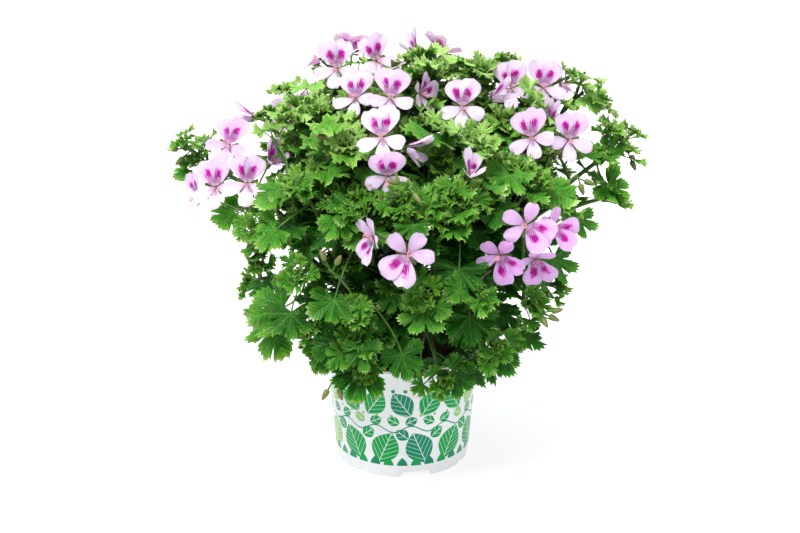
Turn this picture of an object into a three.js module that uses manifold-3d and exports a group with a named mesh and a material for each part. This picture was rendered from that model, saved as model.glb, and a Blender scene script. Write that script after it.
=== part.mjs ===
// A potted lemon-scented geranium: a white nursery pot of peat, fifteen leafy stems and their blooms.
// Millimetres, +Z up. The origin is on the pot's axis, at the level that the pot stands on.
// The front, which most blooms face, is -Y.

import * as THREE from 'three';
import { mergeVertices } from 'three/addons/utils/BufferGeometryUtils.js';
import Module from 'manifold-3d';

const wasm = await Module();
wasm.setup();

// Pot
const POT_HEIGHT = 88;
const RIM_RADIUS = 60;
const WALL_TOP_RADIUS = 58.4;
const FOOT_RADIUS = 51.2;
const WALL = 1.5;
const LIP_DROP = 3.2;
const LIP_ROUND = 0.7;
const FLOOR_BOTTOM = 5;
const FLOOR_TOP = 6.6;
const FOOT_RING = 1.8;
const POT_SIDES = 36;
const DRAIN_HOLES = 6;
const DRAIN_RADIUS = 4;
const DRAIN_CIRCLE = 34;
const DRAIN_SIDES = 8;
const WIDE_NOTCH = { width: 22, height: 4.5, angles: [12, 132, 252] };
const NARROW_NOTCH = { width: 5.5, height: 3, angles: [60, 84, 180, 204, 300, 324] };

// Peat
const PEAT_TOP = 75;
const PEAT_RELIEF = 1.6;
const PEAT_RING = 30;
const PEAT_SIDES = 18;

// The air between pieces that don't touch
const GAP = 0.35;

// Stems and stalks: radius of the section, its sides, and steps along the curve
const MAIN = { radius: 2.9, sides: 5, steps: 3 };
const SHOOT = { radius: 1.9, sides: 3, steps: 2 };
const PEDUNCLE = { radius: 1.3, sides: 3, steps: 2 };
const PEDICEL = { radius: 0.7, sides: 3, steps: 2 };
const PETIOLE = { width: 1.3, height: 1.1 };
const FOOT_DEPTH = 24;
const HOLE_GAP = 0.45;
const BEND_HEIGHT = 34;
const SHOOT_START = 0.72;
const SHOOT_RISE = 0.16;
const STALK_RISE = 5;
const PEDICEL_STEP = 2.6;
const SEAT_RUN = 7;

// Buds: a short stalk and a body that is fattest near its foot
const BUD = { stalk: 7, stalkRadius: 0.75, length: 11, radius: 2.2, fattest: 4.5, sides: 3 };

// Flowers: the thickness of a petal, and a half outline as [degrees from the top, distance from the throat]
const PETAL_THICK = 1.05;
const FLOWER_HALF = [
  [0, 17.5], [10, 19.5], [24, 19.5], [40, 15], [56, 4], [100, 14.5], [121, 16], [144, 4.5], [169, 16.5],
];
const THROAT = { reach: 9, height: 2.6, flat: 6 };
const OPEN_FLOWER = { width: 1, arch: 0.2 };
const CLOSED_FLOWER = { width: 0.62, arch: 0.95 };
const LOWER_ARCH = 0.12;

// Leaves: half outlines as [degrees from the tip, share of the length]; the other half mirrors them
const LEAF_THICK = 0.95;
const LARGE_FROM = 22;
const LARGE_LEAF = [[0, 1], [25, 0.7], [43, 0.98], [62, 0.9], [78, 0.66], [108, 0.84]];
const MEDIUM_FROM = 17.5;
const MEDIUM_LEAF = [[0, 1], [27, 0.62], [50, 0.97], [78, 0.58], [112, 0.82]];
const SMALL_LEAF = [[0, 1], [27, 0.56], [55, 0.97], [104, 0.74]];
const CUP = 0.16;
const FRILL = 0.17;
const FRILL_WAVES = 5;

// How a leaf's stalk meets its blade
const LONG_PETIOLE = 16;
const PETIOLE_MIDDLE = 0.45;
const ARRIVAL = 0.45;
const BEHIND = 0.4;
const BELOW = 0.3;

// Leaves by rule: blades on long stalks from each crown, and blades up each shoot. A range is taken from
// the lowest leaf to the highest one.
const CROWN_LEAVES = 2;
const CROWN_PLACES = [0.7, 0.98];
const CROWN_STALK = [38, 54];
const CROWN_SIZE = [19, 23];
const SHOOT_LEAVES = 2;
const SHOOT_PLACES = [0.5, 0.98];
const SHOOT_STALK = [22, 7];
const SHOOT_SIZE = [17, 10.5];
const GOLDEN_TURN = THREE.MathUtils.degToRad(137.5);
const SIDEWAYS = new THREE.Vector3(0.31, 0.17, 0.93);
const FORWARD = 0.55;
const OUTWARD = 0.45;
const DROOP = { low: 0.85, high: 0.25, from: 100, over: 150 };
const FACING = { low: 0.35, high: 0.9, from: 110, over: 150, outward: 0.7, along: 0.15 };
const FACING_WANDER = [0.28, 0.28, 0.2];

// Places on a shoot that a stalk may leave from, and the least run to a head, a bud and a leaf
const ROOT_PLACES = [0.15, 0.3, 0.45, 0.6, 0.75, 0.9];
const LEAST_RUN = { head: 14, bud: 8, leaf: 16 };
const FAR_AWAY = 1000;
const AHEAD_COST = 1.6;

// A leaf that would touch another piece is tried again, a little elsewhere each time
const TRIES = 14;
const TRY_SHIFT = 0.6;
const TRY_TILT = 0.03;
const TRY_TURN = 0.55;
const TRY_LEAN = 0.25;
const TRY_STRETCH = 0.04;
const TRY_SHRINK = 0.02;

const CROWN_CENTRE = new THREE.Vector3(0, 0, 150);
const UP = new THREE.Vector3(0, 0, 1);

// Colours, roughness and metalness
const LOOKS = {
  pot: [0xf1f3f4, 0.35, 0],
  peat: [0x33261d, 0.95, 0],
  stem: [0x4f8a2d, 0.6, 0],
  bloom: [0xefc3ea, 0.55, 0],
};

// Each stem: its foot on the peat, its crown where it forks, and the tips of its shoots
const STEMS = [
  { name: 'left_sprig', foot: [-18, 3], crown: [-80, 6, 176],
    tips: [[-150, 2, 229], [-99, 20, 258], [-128, 40, 186]] },
  { name: 'left_front', foot: [-14, -9], crown: [-64, -48, 168],
    tips: [[-99, -88, 204], [-90, -44, 256], [-108, -40, 150]] },
  { name: 'front_left', foot: [-8, -15], crown: [-40, -68, 164],
    tips: [[-66, -100, 232], [-66, -124, 182], [-60, -112, 138]] },
  { name: 'front_low', foot: [-3, -19], crown: [-16, -72, 146],
    tips: [[-27, -116, 222], [-30, -128, 160], [-24, -118, 114]] },
  { name: 'front_middle', foot: [4, -17], crown: [10, -70, 160],
    tips: [[-2, -122, 226], [14, -134, 168], [26, -104, 102]] },
  { name: 'front_right', foot: [9, -12], crown: [36, -62, 168],
    tips: [[36, -116, 228], [50, -126, 172], [60, -108, 126]] },
  { name: 'right_front', foot: [14, -8], crown: [64, -42, 162],
    tips: [[84, -84, 232], [106, -66, 214], [86, -92, 150]] },
  { name: 'right_sprig', foot: [18, 2], crown: [86, -2, 172],
    tips: [[160, -2, 240], [152, -6, 204], [112, -18, 140]] },
  { name: 'back_right', foot: [14, 9], crown: [70, 46, 172],
    tips: [[132, 14, 278], [122, 70, 220], [104, 62, 140]] },
  { name: 'back_near_right', foot: [8, 16], crown: [40, 72, 166],
    tips: [[62, 104, 240], [78, 116, 180], [44, 116, 112]] },
  { name: 'back_middle', foot: [-1, 19], crown: [-4, 76, 160],
    tips: [[4, 122, 228], [-6, 140, 168], [0, 96, 264]] },
  { name: 'back_left', foot: [-12, 14], crown: [-52, 64, 164],
    tips: [[-66, 106, 226], [-100, 92, 176], [-50, 114, 124]] },
  { name: 'top_right', foot: [7, 4], crown: [44, 18, 186],
    tips: [[52, 8, 296], [90, 16, 270], [60, 56, 274]] },
  { name: 'top_left', foot: [-8, 5], crown: [-38, 14, 192],
    tips: [[-58, -36, 270], [-46, 50, 278], [-80, 52, 250]] },
  { name: 'top_front', foot: [2, -5], crown: [4, -22, 190],
    tips: [[18, 2, 290], [30, -76, 264], [-40, -80, 256]] },
];

// Each flower head: its stem, the hub of its stalks, and its flowers with the way that they face and the
// turn of their two large petals away from upright
const HEADS = [
  { stem: 'left_front', hub: [-112, -30, 208], flowers: [
    { at: [-129, -50, 221], face: [-0.25, -0.9, 0.35], roll: 12 },
    { at: [-105, -64, 227], face: [0.05, -0.95, 0.3], roll: -6 },
    { at: [-123, -19, 245], face: [-0.2, -0.8, 0.55], roll: -10 },
    { at: [-92, -36, 236], face: [0.45, -0.7, 0.55], roll: 10, size: 0.85, closed: true },
    { at: [-147, -18, 207], face: [-0.9, -0.4, 0.1], roll: 20 }] },
  { stem: 'left_sprig', hub: [-92, 6, 250], flowers: [
    { at: [-108, 2, 261], face: [-0.95, -0.25, 0.2], roll: 0, size: 0.85, closed: true }] },
  { stem: 'top_left', hub: [-40, 24, 284], flowers: [
    { at: [-47, 4, 296], face: [-0.15, -0.95, 0.3], roll: 0 },
    { at: [-19, 18, 300], face: [0.4, -0.75, 0.45], roll: 12 },
    { at: [-38, 40, 304], face: [0, 0.6, 0.8], roll: 0 },
    { at: [-60, 30, 299], face: [-0.75, 0.2, 0.6], roll: 0, size: 0.85 }] },
  { stem: 'top_front', hub: [-10, -28, 274], flowers: [
    { at: [-32, -40, 281], face: [-0.35, -0.75, 0.55], roll: 10 },
    { at: [-8, -54, 283], face: [0.05, -0.85, 0.5], roll: -4 },
    { at: [12, -33, 283], face: [0.75, -0.5, 0.15], roll: -60, size: 0.8 },
    { at: [-14, -14, 293], face: [-0.1, 0.1, 1], roll: 0, size: 0.9 }] },
  { stem: 'top_front', hub: [-4, -84, 250], flowers: [
    { at: [-13, -103, 265], face: [-0.1, -0.9, 0.4], roll: 6 },
    { at: [3, -92, 256], face: [0.85, -0.4, -0.1], roll: -20, closed: true },
    { at: [-9, -113, 242], face: [0, -0.95, -0.1], roll: 0, size: 0.95 }] },
  { stem: 'top_right', hub: [22, 34, 290], flowers: [
    { at: [9, 33, 305], face: [-0.4, 0.6, 0.6], roll: 0, size: 0.8, closed: true },
    { at: [30, 43, 304], face: [0.45, 0.35, 0.8], roll: 0 }] },
  { stem: 'top_right', hub: [46, -22, 264], flowers: [
    { at: [41, -46, 276], face: [-0.1, -0.92, 0.35], roll: 0 },
    { at: [62, -36, 280], face: [0.7, -0.5, 0.45], roll: -12, size: 0.85, closed: true }] },
  { stem: 'top_right', hub: [92, 6, 266], flowers: [
    { at: [77, -6, 283], face: [-0.1, -0.92, 0.35], roll: 4 },
    { at: [101, -0.5, 283], face: [0.06, -0.89, 0.45], roll: -6 },
    { at: [117, 21.5, 280.5], face: [0.76, 0, 0.65], roll: 0, size: 0.85 }] },
  { stem: 'right_front', hub: [102, -34, 240], flowers: [
    { at: [87, -58, 257], face: [-0.2, -0.9, 0.35], roll: 14 },
    { at: [115, -38, 252], face: [0.15, -0.93, 0.3], roll: -8 },
    { at: [104, -27, 264], face: [0, 0.1, 1], roll: 0, size: 0.75, closed: true }] },
  { stem: 'front_right', hub: [42, -100, 234], flowers: [
    { at: [43, -114, 243], face: [0.1, -0.7, 0.7], roll: 0, size: 0.75, closed: true }] },
  { stem: 'right_front', hub: [78, -98, 208], flowers: [
    { at: [62, -122, 193], face: [-0.25, -0.88, -0.3], roll: -140, size: 0.95 },
    { at: [78, -122, 213], face: [-0.05, -0.95, 0], roll: -125, size: 0.95 },
    { at: [97, -106, 207], face: [0.4, -0.85, 0.1], roll: -110, size: 0.9 },
    { at: [86, -110, 187], face: [0.15, -0.85, -0.45], roll: -160, size: 0.9 }] },
  { stem: 'front_middle', hub: [-2, -122, 200], flowers: [
    { at: [3, -144, 200], face: [0.05, -0.96, 0.1], roll: 150 },
    { at: [-18, -134, 208], face: [-0.8, -0.55, 0], roll: 160, size: 0.85 }] },
  { stem: 'back_middle', hub: [8, 108, 236], flowers: [
    { at: [-4, 128, 246], face: [-0.2, 0.88, 0.4], roll: 8 },
    { at: [22, 124, 250], face: [0.25, 0.8, 0.5], roll: -8 },
    { at: [14, 137, 221], face: [0.1, 0.95, 0.1], roll: 0, size: 0.9 }] },
  { stem: 'back_left', hub: [-84, 84, 232], flowers: [
    { at: [-96, 102, 241], face: [-0.55, 0.75, 0.35], roll: 0 },
    { at: [-72, 92, 252], face: [0.1, 0.6, 0.8], roll: 10 }] },
  { stem: 'back_right', hub: [96, 78, 222], flowers: [
    { at: [112, 94, 231], face: [0.6, 0.7, 0.35], roll: 0 },
    { at: [88, 92, 240], face: [0.05, 0.7, 0.7], roll: -8, size: 0.95 }] },
];

// Each cluster of buds: its stem, the hub of its stalks and where its buds point
const BUD_CLUSTERS = [
  { stem: 'left_sprig', hub: [-157, 2, 238], buds: [[-1, -0.1, 0], [-0.8, -0.2, -0.7], [-0.7, 0.5, 0.3]] },
  { stem: 'front_low', hub: [-46, -130, 186], buds: [[-0.4, -0.2, 1], [0.5, -0.4, 1]] },
  { stem: 'front_middle', hub: [4, -124, 240], buds: [[-1, -0.4, 0.2], [0.5, -0.6, -0.5]] },
  { stem: 'right_front', hub: [120, -50, 230],
    buds: [[0.3, -0.4, -0.9], [0.9, -0.2, -0.3], [-0.5, -0.4, -0.5]] },
  { stem: 'right_front', hub: [92, -104, 148], buds: [[1, -0.3, 0.3], [1, -0.3, -0.4], [0.5, -0.8, -0.7]] },
  { stem: 'front_low', hub: [-46, -114, 104], buds: [[-0.5, -0.4, -0.8], [0.3, -0.5, -1]] },
  { stem: 'top_front', hub: [-44, -90, 262], buds: [[-0.7, -0.5, 0.2], [0.2, -0.7, -0.4]] },
  { stem: 'top_right', hub: [66, 14, 298], buds: [[0.8, 0, 0.6], [1, 0.2, -0.1]] },
  { stem: 'top_left', hub: [-2, 14, 292], buds: [[0.6, 0, 1], [-0.3, -0.5, 0.8]] },
  { stem: 'right_sprig', hub: [164, 0, 236], buds: [[0.5, -0.1, -1]] },
  { stem: 'back_near_right', hub: [66, 112, 244], buds: [[0.5, 0.6, 0.6], [-0.4, 0.8, 0.3]] },
  { stem: 'back_left', hub: [-104, 96, 184], buds: [[-0.8, 0.6, -0.2], [-0.3, 0.9, -0.6]] },
];

// Leaves that stand out: stem, where the stalk meets the blade, which way the tip points and the blade
// faces, and the length from stalk to tip
const CHOSEN_LEAVES = [
  { stem: 'left_front', at: [-80, -98, 150], tip: [-0.9, -0.1, -0.2], face: [-0.35, -0.8, 0.5], size: 27 },
  { stem: 'left_front', at: [-88, -86, 132], tip: [-0.3, -0.1, -0.95], face: [-0.5, -0.8, 0.2], size: 26 },
  { stem: 'front_left', at: [-72, -108, 142], tip: [0.1, -0.3, -0.95], face: [-0.2, -0.9, 0.35], size: 22 },
  { stem: 'left_sprig', at: [-124, -14, 194], tip: [-0.9, -0.1, -0.3], face: [-0.3, -0.7, 0.6], size: 18 },
  { stem: 'left_sprig', at: [-160, 6, 222], tip: [-0.7, 0.1, -0.7], face: [-0.5, -0.6, 0.6], size: 13 },
  { stem: 'right_sprig', at: [150, -10, 214], tip: [0.7, -0.1, -0.6], face: [0.2, -0.8, 0.6], size: 19 },
  { stem: 'right_sprig', at: [124, -36, 196], tip: [0.2, -0.2, -0.9], face: [0.4, -0.85, 0.3], size: 18 },
  { stem: 'right_sprig', at: [150, -6, 236], tip: [-0.4, -0.1, 0.9], face: [-0.1, -0.9, 0.4], size: 15 },
  { stem: 'back_right', at: [134, 8, 276], tip: [0.85, -0.1, -0.4], face: [0.3, -0.7, 0.7], size: 17 },
  { stem: 'front_low', at: [-28, -114, 112], tip: [-0.1, -0.4, -0.9], face: [-0.2, -0.85, 0.5], size: 24 },
  { stem: 'front_low', at: [0, -118, 124], tip: [0.3, -0.4, -0.85], face: [0.2, -0.9, 0.4], size: 18 },
  { stem: 'front_middle', at: [36, -104, 104], tip: [0.2, -0.2, -0.97], face: [0.1, -0.95, 0.2], size: 17 },
  { stem: 'front_right', at: [66, -104, 120], tip: [0.2, -0.2, -0.97], face: [0.4, -0.9, 0.3], size: 18 },
  { stem: 'front_middle', at: [14, -134, 160], tip: [-0.3, -0.5, -0.8], face: [0, -0.85, 0.6], size: 19 },
  { stem: 'front_left', at: [-42, -121, 216], tip: [0.4, -0.4, -0.8], face: [-0.1, -0.85, 0.6], size: 18 },
  { stem: 'left_front', at: [-78, -92, 228], tip: [-0.3, -0.5, -0.6], face: [-0.3, -0.6, 0.8], size: 21 },
  { stem: 'front_left', at: [-82, -108, 206], tip: [-0.8, -0.4, -0.4], face: [-0.4, -0.7, 0.6], size: 18 },
  { stem: 'front_low', at: [-24, -118, 209], tip: [0.2, -0.4, -0.8], face: [0, -0.8, 0.6], size: 18 },
  { stem: 'right_front', at: [100, -72, 224], tip: [0.7, -0.6, -0.3], face: [0.2, -0.5, 0.85], size: 21 },
  { stem: 'right_front', at: [70, -90, 238], tip: [-0.3, -0.8, -0.4], face: [0, -0.6, 0.8], size: 20 },
  { stem: 'top_right', at: [78, -34, 266], tip: [0.2, -0.8, -0.5], face: [0.1, -0.6, 0.8], size: 18 },
  { stem: 'front_right', at: [44, -112, 148], tip: [0.1, -0.4, -0.9], face: [0.1, -0.9, 0.4], size: 21 },
  { stem: 'front_right', at: [36, -122, 184], tip: [-0.1, -0.4, -0.9], face: [0, -0.9, 0.5], size: 22 },
  { stem: 'front_low', at: [-38, -128, 170], tip: [-0.2, -0.4, -0.9], face: [-0.2, -0.85, 0.5], size: 20 },
  { stem: 'right_front', at: [104, -70, 176], tip: [0.5, -0.4, -0.8], face: [0.6, -0.75, 0.3], size: 22 },
];

// A repeatable number from 0 to 1 for a place, a try and a use
function draw(place, attempt, use) {
  let hash = 2166136261;
  for (const key of [place, attempt, use]) {
    hash = Math.imul(hash ^ key, 16777619);
    hash ^= hash >>> 13;
    hash = Math.imul(hash, 1540483477);
    hash ^= hash >>> 15;
  }
  return (hash >>> 0) / 4294967296;
}

function spread(place, attempt, use) {
  return 2 * draw(place, attempt, use) - 1;
}

// A shift that grows with each try
function nudge(place, attempt, use, reach) {
  const ways = [0, 1, 2].map((i) => spread(place, attempt, use + i));
  return vector(ways).multiplyScalar(attempt * reach);
}

function vector([x, y, z]) {
  return new THREE.Vector3(x, y, z);
}

function mix(from, to, share) {
  return from + (to - from) * share;
}

// A value that goes from low to high as z rises
function rising({ low, high, from, over }, z) {
  return mix(low, high, THREE.MathUtils.clamp((z - from) / over, 0, 1));
}

function arc(from, bend, to) {
  return new THREE.QuadraticBezierCurve3(from, bend, to);
}

// A closed mesh as a solid that can be joined and cut
function solidOf(geometry) {
  const bare = geometry.clone();
  bare.deleteAttribute('normal');
  bare.deleteAttribute('uv');
  const merged = mergeVertices(bare, 1e-4);
  return new wasm.Manifold(new wasm.Mesh({
    numProp: 3,
    vertProperties: Float32Array.from(merged.attributes.position.array),
    triVerts: Uint32Array.from(merged.index.array),
  }));
}

function geometryOf(solid) {
  const mesh = solid.getMesh();
  const geometry = new THREE.BufferGeometry();
  geometry.setAttribute('position', new THREE.BufferAttribute(mesh.vertProperties, 3));
  geometry.setIndex(new THREE.BufferAttribute(mesh.triVerts, 1));
  geometry.computeVertexNormals();
  return geometry;
}

// The one body that joined pieces make, with no sealed hollow and no loose scrap
function fuse(solids) {
  const joined = solids.reduce((whole, next) => whole.add(next));
  return joined.decompose().sort((a, b) => b.volume() - a.volume())[0];
}

function turned(profile, sides) {
  return new THREE.LatheGeometry(profile.map(([r, height]) => new THREE.Vector2(r, height)), sides);
}

function tube(curve, { radius, sides, steps }) {
  const corners = Array.from({ length: sides }, (_, i) => {
    const angle = (2 * Math.PI * i) / sides;
    return new THREE.Vector2(radius * Math.cos(angle), radius * Math.sin(angle));
  });
  const section = new THREE.Shape(corners);
  return solidOf(new THREE.ExtrudeGeometry(section, { steps, extrudePath: curve, bevelEnabled: false }));
}

// Axes for a blade at a place: x to its tip, z the way it faces
function bladeFrame(at, tip, face) {
  const z = face.clone().normalize();
  const x = tip.clone().addScaledVector(z, -tip.dot(z)).normalize();
  const y = new THREE.Vector3().crossVectors(z, x);
  return new THREE.Matrix4().makeBasis(x, y, z).setPosition(at);
}

// A point of a blade from its angle to the tip and its distance and height, both in shares of its size
function bladePoint(frame, size, angle, reach, height) {
  const point = new THREE.Vector3(reach * Math.cos(angle), reach * Math.sin(angle), height);
  return point.multiplyScalar(size).applyMatrix4(frame);
}

function indexed(points, faces) {
  const geometry = new THREE.BufferGeometry().setFromPoints(points);
  geometry.setIndex(faces.flat());
  return solidOf(geometry);
}

// A flower arches up from its throat and then back to the rim of its petals
function flowerHeight(angle, reach, arch) {
  const throat = THROAT.height * Math.min(1, reach / THROAT.reach);
  const lower = 0.5 - 0.5 * Math.cos(angle);
  return throat + Math.max(0, reach - THROAT.flat) * (arch + LOWER_ARCH * lower);
}

// A flower as one thin fan, cut in to the throat between its petals, alike on both faces
function flowerSolid(frame, size, { width, arch }) {
  const left = FLOWER_HALF.slice(1).map(([degrees, reach]) => [-degrees, reach]).reverse();
  const rim = [...left, ...FLOWER_HALF].map(([degrees, reach]) => {
    const angle = THREE.MathUtils.degToRad(degrees);
    return bladePoint(frame, size, angle, width * reach, flowerHeight(angle, reach, arch));
  });
  const down = new THREE.Vector3(0, 0, -PETAL_THICK).applyMatrix4(new THREE.Matrix4().extractRotation(frame));
  const top = [new THREE.Vector3().applyMatrix4(frame), ...rim];
  const points = [...top, ...top.map((point) => point.clone().add(down))];
  const faces = rim.flatMap((_, i) => {
    const here = 1 + i;
    const next = 1 + ((i + 1) % rim.length);
    const [under, lowHere, lowNext] = [0, here, next].map((corner) => corner + top.length);
    return [[0, here, next], [under, lowNext, lowHere], [here, lowHere, lowNext], [here, lowNext, next]];
  });
  return indexed(points, faces);
}

function leafRim(size) {
  const medium = size >= MEDIUM_FROM ? MEDIUM_LEAF : SMALL_LEAF;
  const half = size >= LARGE_FROM ? LARGE_LEAF : medium;
  const left = half.slice(1).map(([degrees, reach]) => [-degrees, reach]).reverse();
  return [...left, ...half];
}

// The corners of a leaf stalk's section at a point of its curve
function stalkSection(centre, along, side) {
  const across = side.clone().addScaledVector(along, -side.dot(along)).normalize();
  const over = new THREE.Vector3().crossVectors(along, across);
  const top = centre.clone().addScaledVector(over, PETIOLE.height / 2);
  const low = centre.clone().addScaledVector(over, -PETIOLE.height / 2);
  const right = low.clone().addScaledVector(across, -PETIOLE.width / 2);
  const left = low.addScaledVector(across, PETIOLE.width / 2);
  return [top, right, left];
}

// A leaf in one piece: the fan of its blade, alike on both faces, and a stalk that runs on from the heart
function leafSolid(heart, rim, down, side, stalk) {
  const half = side.clone().multiplyScalar(PETIOLE.width / 2);
  const under = heart.clone().add(down);
  const points = [heart, under.clone().sub(half), under.clone().add(half), ...rim,
    ...rim.map((point) => point.clone().add(down))];
  const top = 3;
  const bottom = top + rim.length;
  const end = rim.length - 1;
  const middle = end / 2;
  const faces = [[1, 2, bottom + middle], [0, 1, bottom], [0, bottom, top],
    [0, top + end, bottom + end], [0, bottom + end, 2]];
  for (let i = 0; i < end; i += 1) {
    const corner = i < middle ? 1 : 2;
    faces.push([0, top + i, top + i + 1], [corner, bottom + i + 1, bottom + i]);
    faces.push([top + i, bottom + i, bottom + i + 1], [top + i, bottom + i + 1, top + i + 1]);
  }
  let ring = [0, 1, 2];
  for (const corners of stalk) {
    const next = corners.map((corner) => points.push(corner) - 1);
    for (let i = 0; i < ring.length; i += 1) {
      const j = (i + 1) % ring.length;
      faces.push([ring[i], next[i], next[j]], [ring[i], next[j], ring[j]]);
    }
    ring = next;
  }
  faces.push([ring[0], ring[2], ring[1]]);
  return indexed(points, faces);
}

// A leaf and its stalk, or nothing where the stalk would run back through the blade
function leafFrom(root, at, tip, face, size, phase) {
  const frame = bladeFrame(at, tip, face);
  const [x, y, z] = [new THREE.Vector3(), new THREE.Vector3(), new THREE.Vector3()];
  frame.extractBasis(x, y, z);
  const far = root.distanceTo(at);
  const back = root.clone().sub(at);
  if (back.dot(x) > -BEHIND * far && back.dot(z) > -BELOW * far) return null;
  const rim = leafRim(size).map(([degrees, reach]) => {
    const angle = THREE.MathUtils.degToRad(degrees);
    const height = reach * reach * (CUP + FRILL * Math.cos(FRILL_WAVES * angle + phase));
    return bladePoint(frame, size, angle, reach, height);
  });
  const bend = at.clone().addScaledVector(x, -ARRIVAL * far).addScaledVector(z, -LEAF_THICK);
  const curve = arc(at, bend, root);
  const straight = at.clone().sub(root).normalize();
  const stalk = far > LONG_PETIOLE
    ? [PETIOLE_MIDDLE, 1].map((t) => stalkSection(curve.getPoint(t), curve.getTangent(t).negate(), y))
    : [stalkSection(root, straight, y)];
  return leafSolid(at, rim, z.clone().multiplyScalar(-LEAF_THICK), y, stalk);
}

function potSolid() {
  const lipBottom = POT_HEIGHT - LIP_DROP;
  const profile = [
    [0, FLOOR_BOTTOM], [wallAt(FLOOR_BOTTOM) - FOOT_RING, FLOOR_BOTTOM], [FOOT_RADIUS - FOOT_RING, 0],
    [FOOT_RADIUS, 0], [wallAt(lipBottom), lipBottom], [RIM_RADIUS, lipBottom + LIP_ROUND],
    [RIM_RADIUS, POT_HEIGHT - LIP_ROUND], [RIM_RADIUS - LIP_ROUND, POT_HEIGHT],
    [wallAt(POT_HEIGHT) - WALL, POT_HEIGHT], [wallAt(FLOOR_TOP) - WALL, FLOOR_TOP], [0, FLOOR_TOP],
  ];
  let pot = solidOf(turned(profile, POT_SIDES).rotateX(Math.PI / 2));
  for (const { width, height, angles } of [WIDE_NOTCH, NARROW_NOTCH]) {
    for (const degrees of angles) {
      const notch = new THREE.BoxGeometry(4 * FOOT_RING, width, 2 * height);
      notch.translate(FOOT_RADIUS, 0, 0);
      notch.rotateZ(THREE.MathUtils.degToRad(degrees - 90));
      pot = pot.subtract(solidOf(notch));
    }
  }
  for (let i = 0; i < DRAIN_HOLES; i += 1) {
    const hole = new THREE.CylinderGeometry(DRAIN_RADIUS, DRAIN_RADIUS, 4 * FLOOR_TOP, DRAIN_SIDES);
    hole.rotateX(Math.PI / 2);
    hole.translate(DRAIN_CIRCLE, 0, FLOOR_TOP);
    hole.rotateZ((2 * Math.PI * i) / DRAIN_HOLES);
    pot = pot.subtract(solidOf(hole));
  }
  return pot;
}

// The pot's outer radius at a height
function wallAt(z) {
  return mix(FOOT_RADIUS, WALL_TOP_RADIUS, z / (POT_HEIGHT - LIP_DROP));
}

// Peat: a plug that follows the pot's wall, with a low relief and a plain hole for each stem
function peatSolid() {
  const bottom = FLOOR_TOP + GAP;
  const edge = wallAt(PEAT_TOP) - WALL - GAP;
  const profile = [[0, bottom], [wallAt(bottom) - WALL - GAP, bottom], [edge, PEAT_TOP],
    [PEAT_RING, PEAT_TOP], [0, PEAT_TOP]];
  const plug = turned(profile, PEAT_SIDES).rotateX(Math.PI / 2);
  const points = plug.attributes.position;
  for (let i = 0; i < points.count; i += 1) {
    const [x, y, z] = [points.getX(i), points.getY(i), points.getZ(i)];
    const onTop = z > bottom + 1 && Math.hypot(x, y) < edge - 1;
    const relief = Math.sin(x / 7) * Math.cos(y / 6) + Math.cos(x / 11 + y / 9);
    if (onTop) points.setZ(i, z + PEAT_RELIEF * relief);
  }
  const hole = { ...MAIN, radius: MAIN.radius + HOLE_GAP };
  return STEMS.reduce((peat, stem) => peat.subtract(tube(mainCurve(stem, HOLE_GAP), hole)), solidOf(plug));
}

// A main stem stands upright in the peat and then leans out to its crown
function mainCurve({ foot: [x, y], crown }, deeper = 0) {
  const above = new THREE.Vector3(x, y, PEAT_TOP + BEND_HEIGHT);
  return arc(new THREE.Vector3(x, y, PEAT_TOP - FOOT_DEPTH - deeper), above, vector(crown));
}

// A shoot leaves its main stem part of the way up and rises before it leans out to its tip
function shootCurves(stem) {
  return stem.tips.map((tip, number) => {
    const from = mainCurve(stem).getPoint(mix(1, SHOOT_START, number / stem.tips.length));
    const to = vector(tip);
    const bend = from.clone().lerp(to, 0.5).addScaledVector(UP, SHOOT_RISE * from.distanceTo(to));
    return arc(from, bend, to);
  });
}

function stemNamed(wanted) {
  return STEMS.find(({ name }) => name === wanted);
}

// The point on a stem's shoots that a stalk leaves from: near where it goes, and on the side it comes from
function rootFor(stem, to, least, ahead) {
  const points = shootCurves(stem).flatMap((curve) => ROOT_PLACES.map((t) => curve.getPoint(t)));
  const costs = points.map((point) => {
    const far = point.distanceTo(to);
    const facing = point.clone().sub(to).normalize().dot(ahead);
    return far < least ? FAR_AWAY - far : far * (AHEAD_COST + facing);
  });
  return points[costs.indexOf(Math.min(...costs))];
}

function stalkSolid(root, hub, section) {
  const bend = root.clone().lerp(hub, 0.5).addScaledVector(UP, STALK_RISE);
  return tube(arc(root, bend, hub), section);
}

// Where a flower's or bud's own stalk leaves the one that carries it, a little lower for each
function stalkStart(root, hub, number) {
  return hub.clone().addScaledVector(root.clone().sub(hub).normalize(), PEDICEL_STEP * number);
}

// Every solid placed so far, with the node that it belongs to
const placed = [];

function place(node, solid, isBlade) {
  placed.push({ node, solid, box: solid.boundingBox(), isBlade });
}

function boxesMeet(a, b) {
  return [0, 1, 2].every((i) => a.min[i] - GAP < b.max[i] && b.min[i] - GAP < a.max[i]);
}

// True where a leaf keeps its gap to all other nodes, and to the blades of its own
function isClear(solid, node) {
  const box = solid.boundingBox();
  return placed.every((other) => {
    const matters = other.node !== node || other.isBlade;
    return !matters || !boxesMeet(box, other.box) || solid.minGap(other.solid, 2 * GAP) >= GAP;
  });
}

// A leaf goes where the first of its tries keeps clear
function placeLeaf(node, make) {
  for (let attempt = 0; attempt < TRIES; attempt += 1) {
    const solid = make(attempt);
    if (solid && isClear(solid, node)) {
      place(node, solid, true);
      return;
    }
  }
}

function placeStem(stem) {
  place(`stem_${stem.name}`, tube(mainCurve(stem), MAIN), false);
  for (const curve of shootCurves(stem)) place(`stem_${stem.name}`, tube(curve, SHOOT), false);
}

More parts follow.
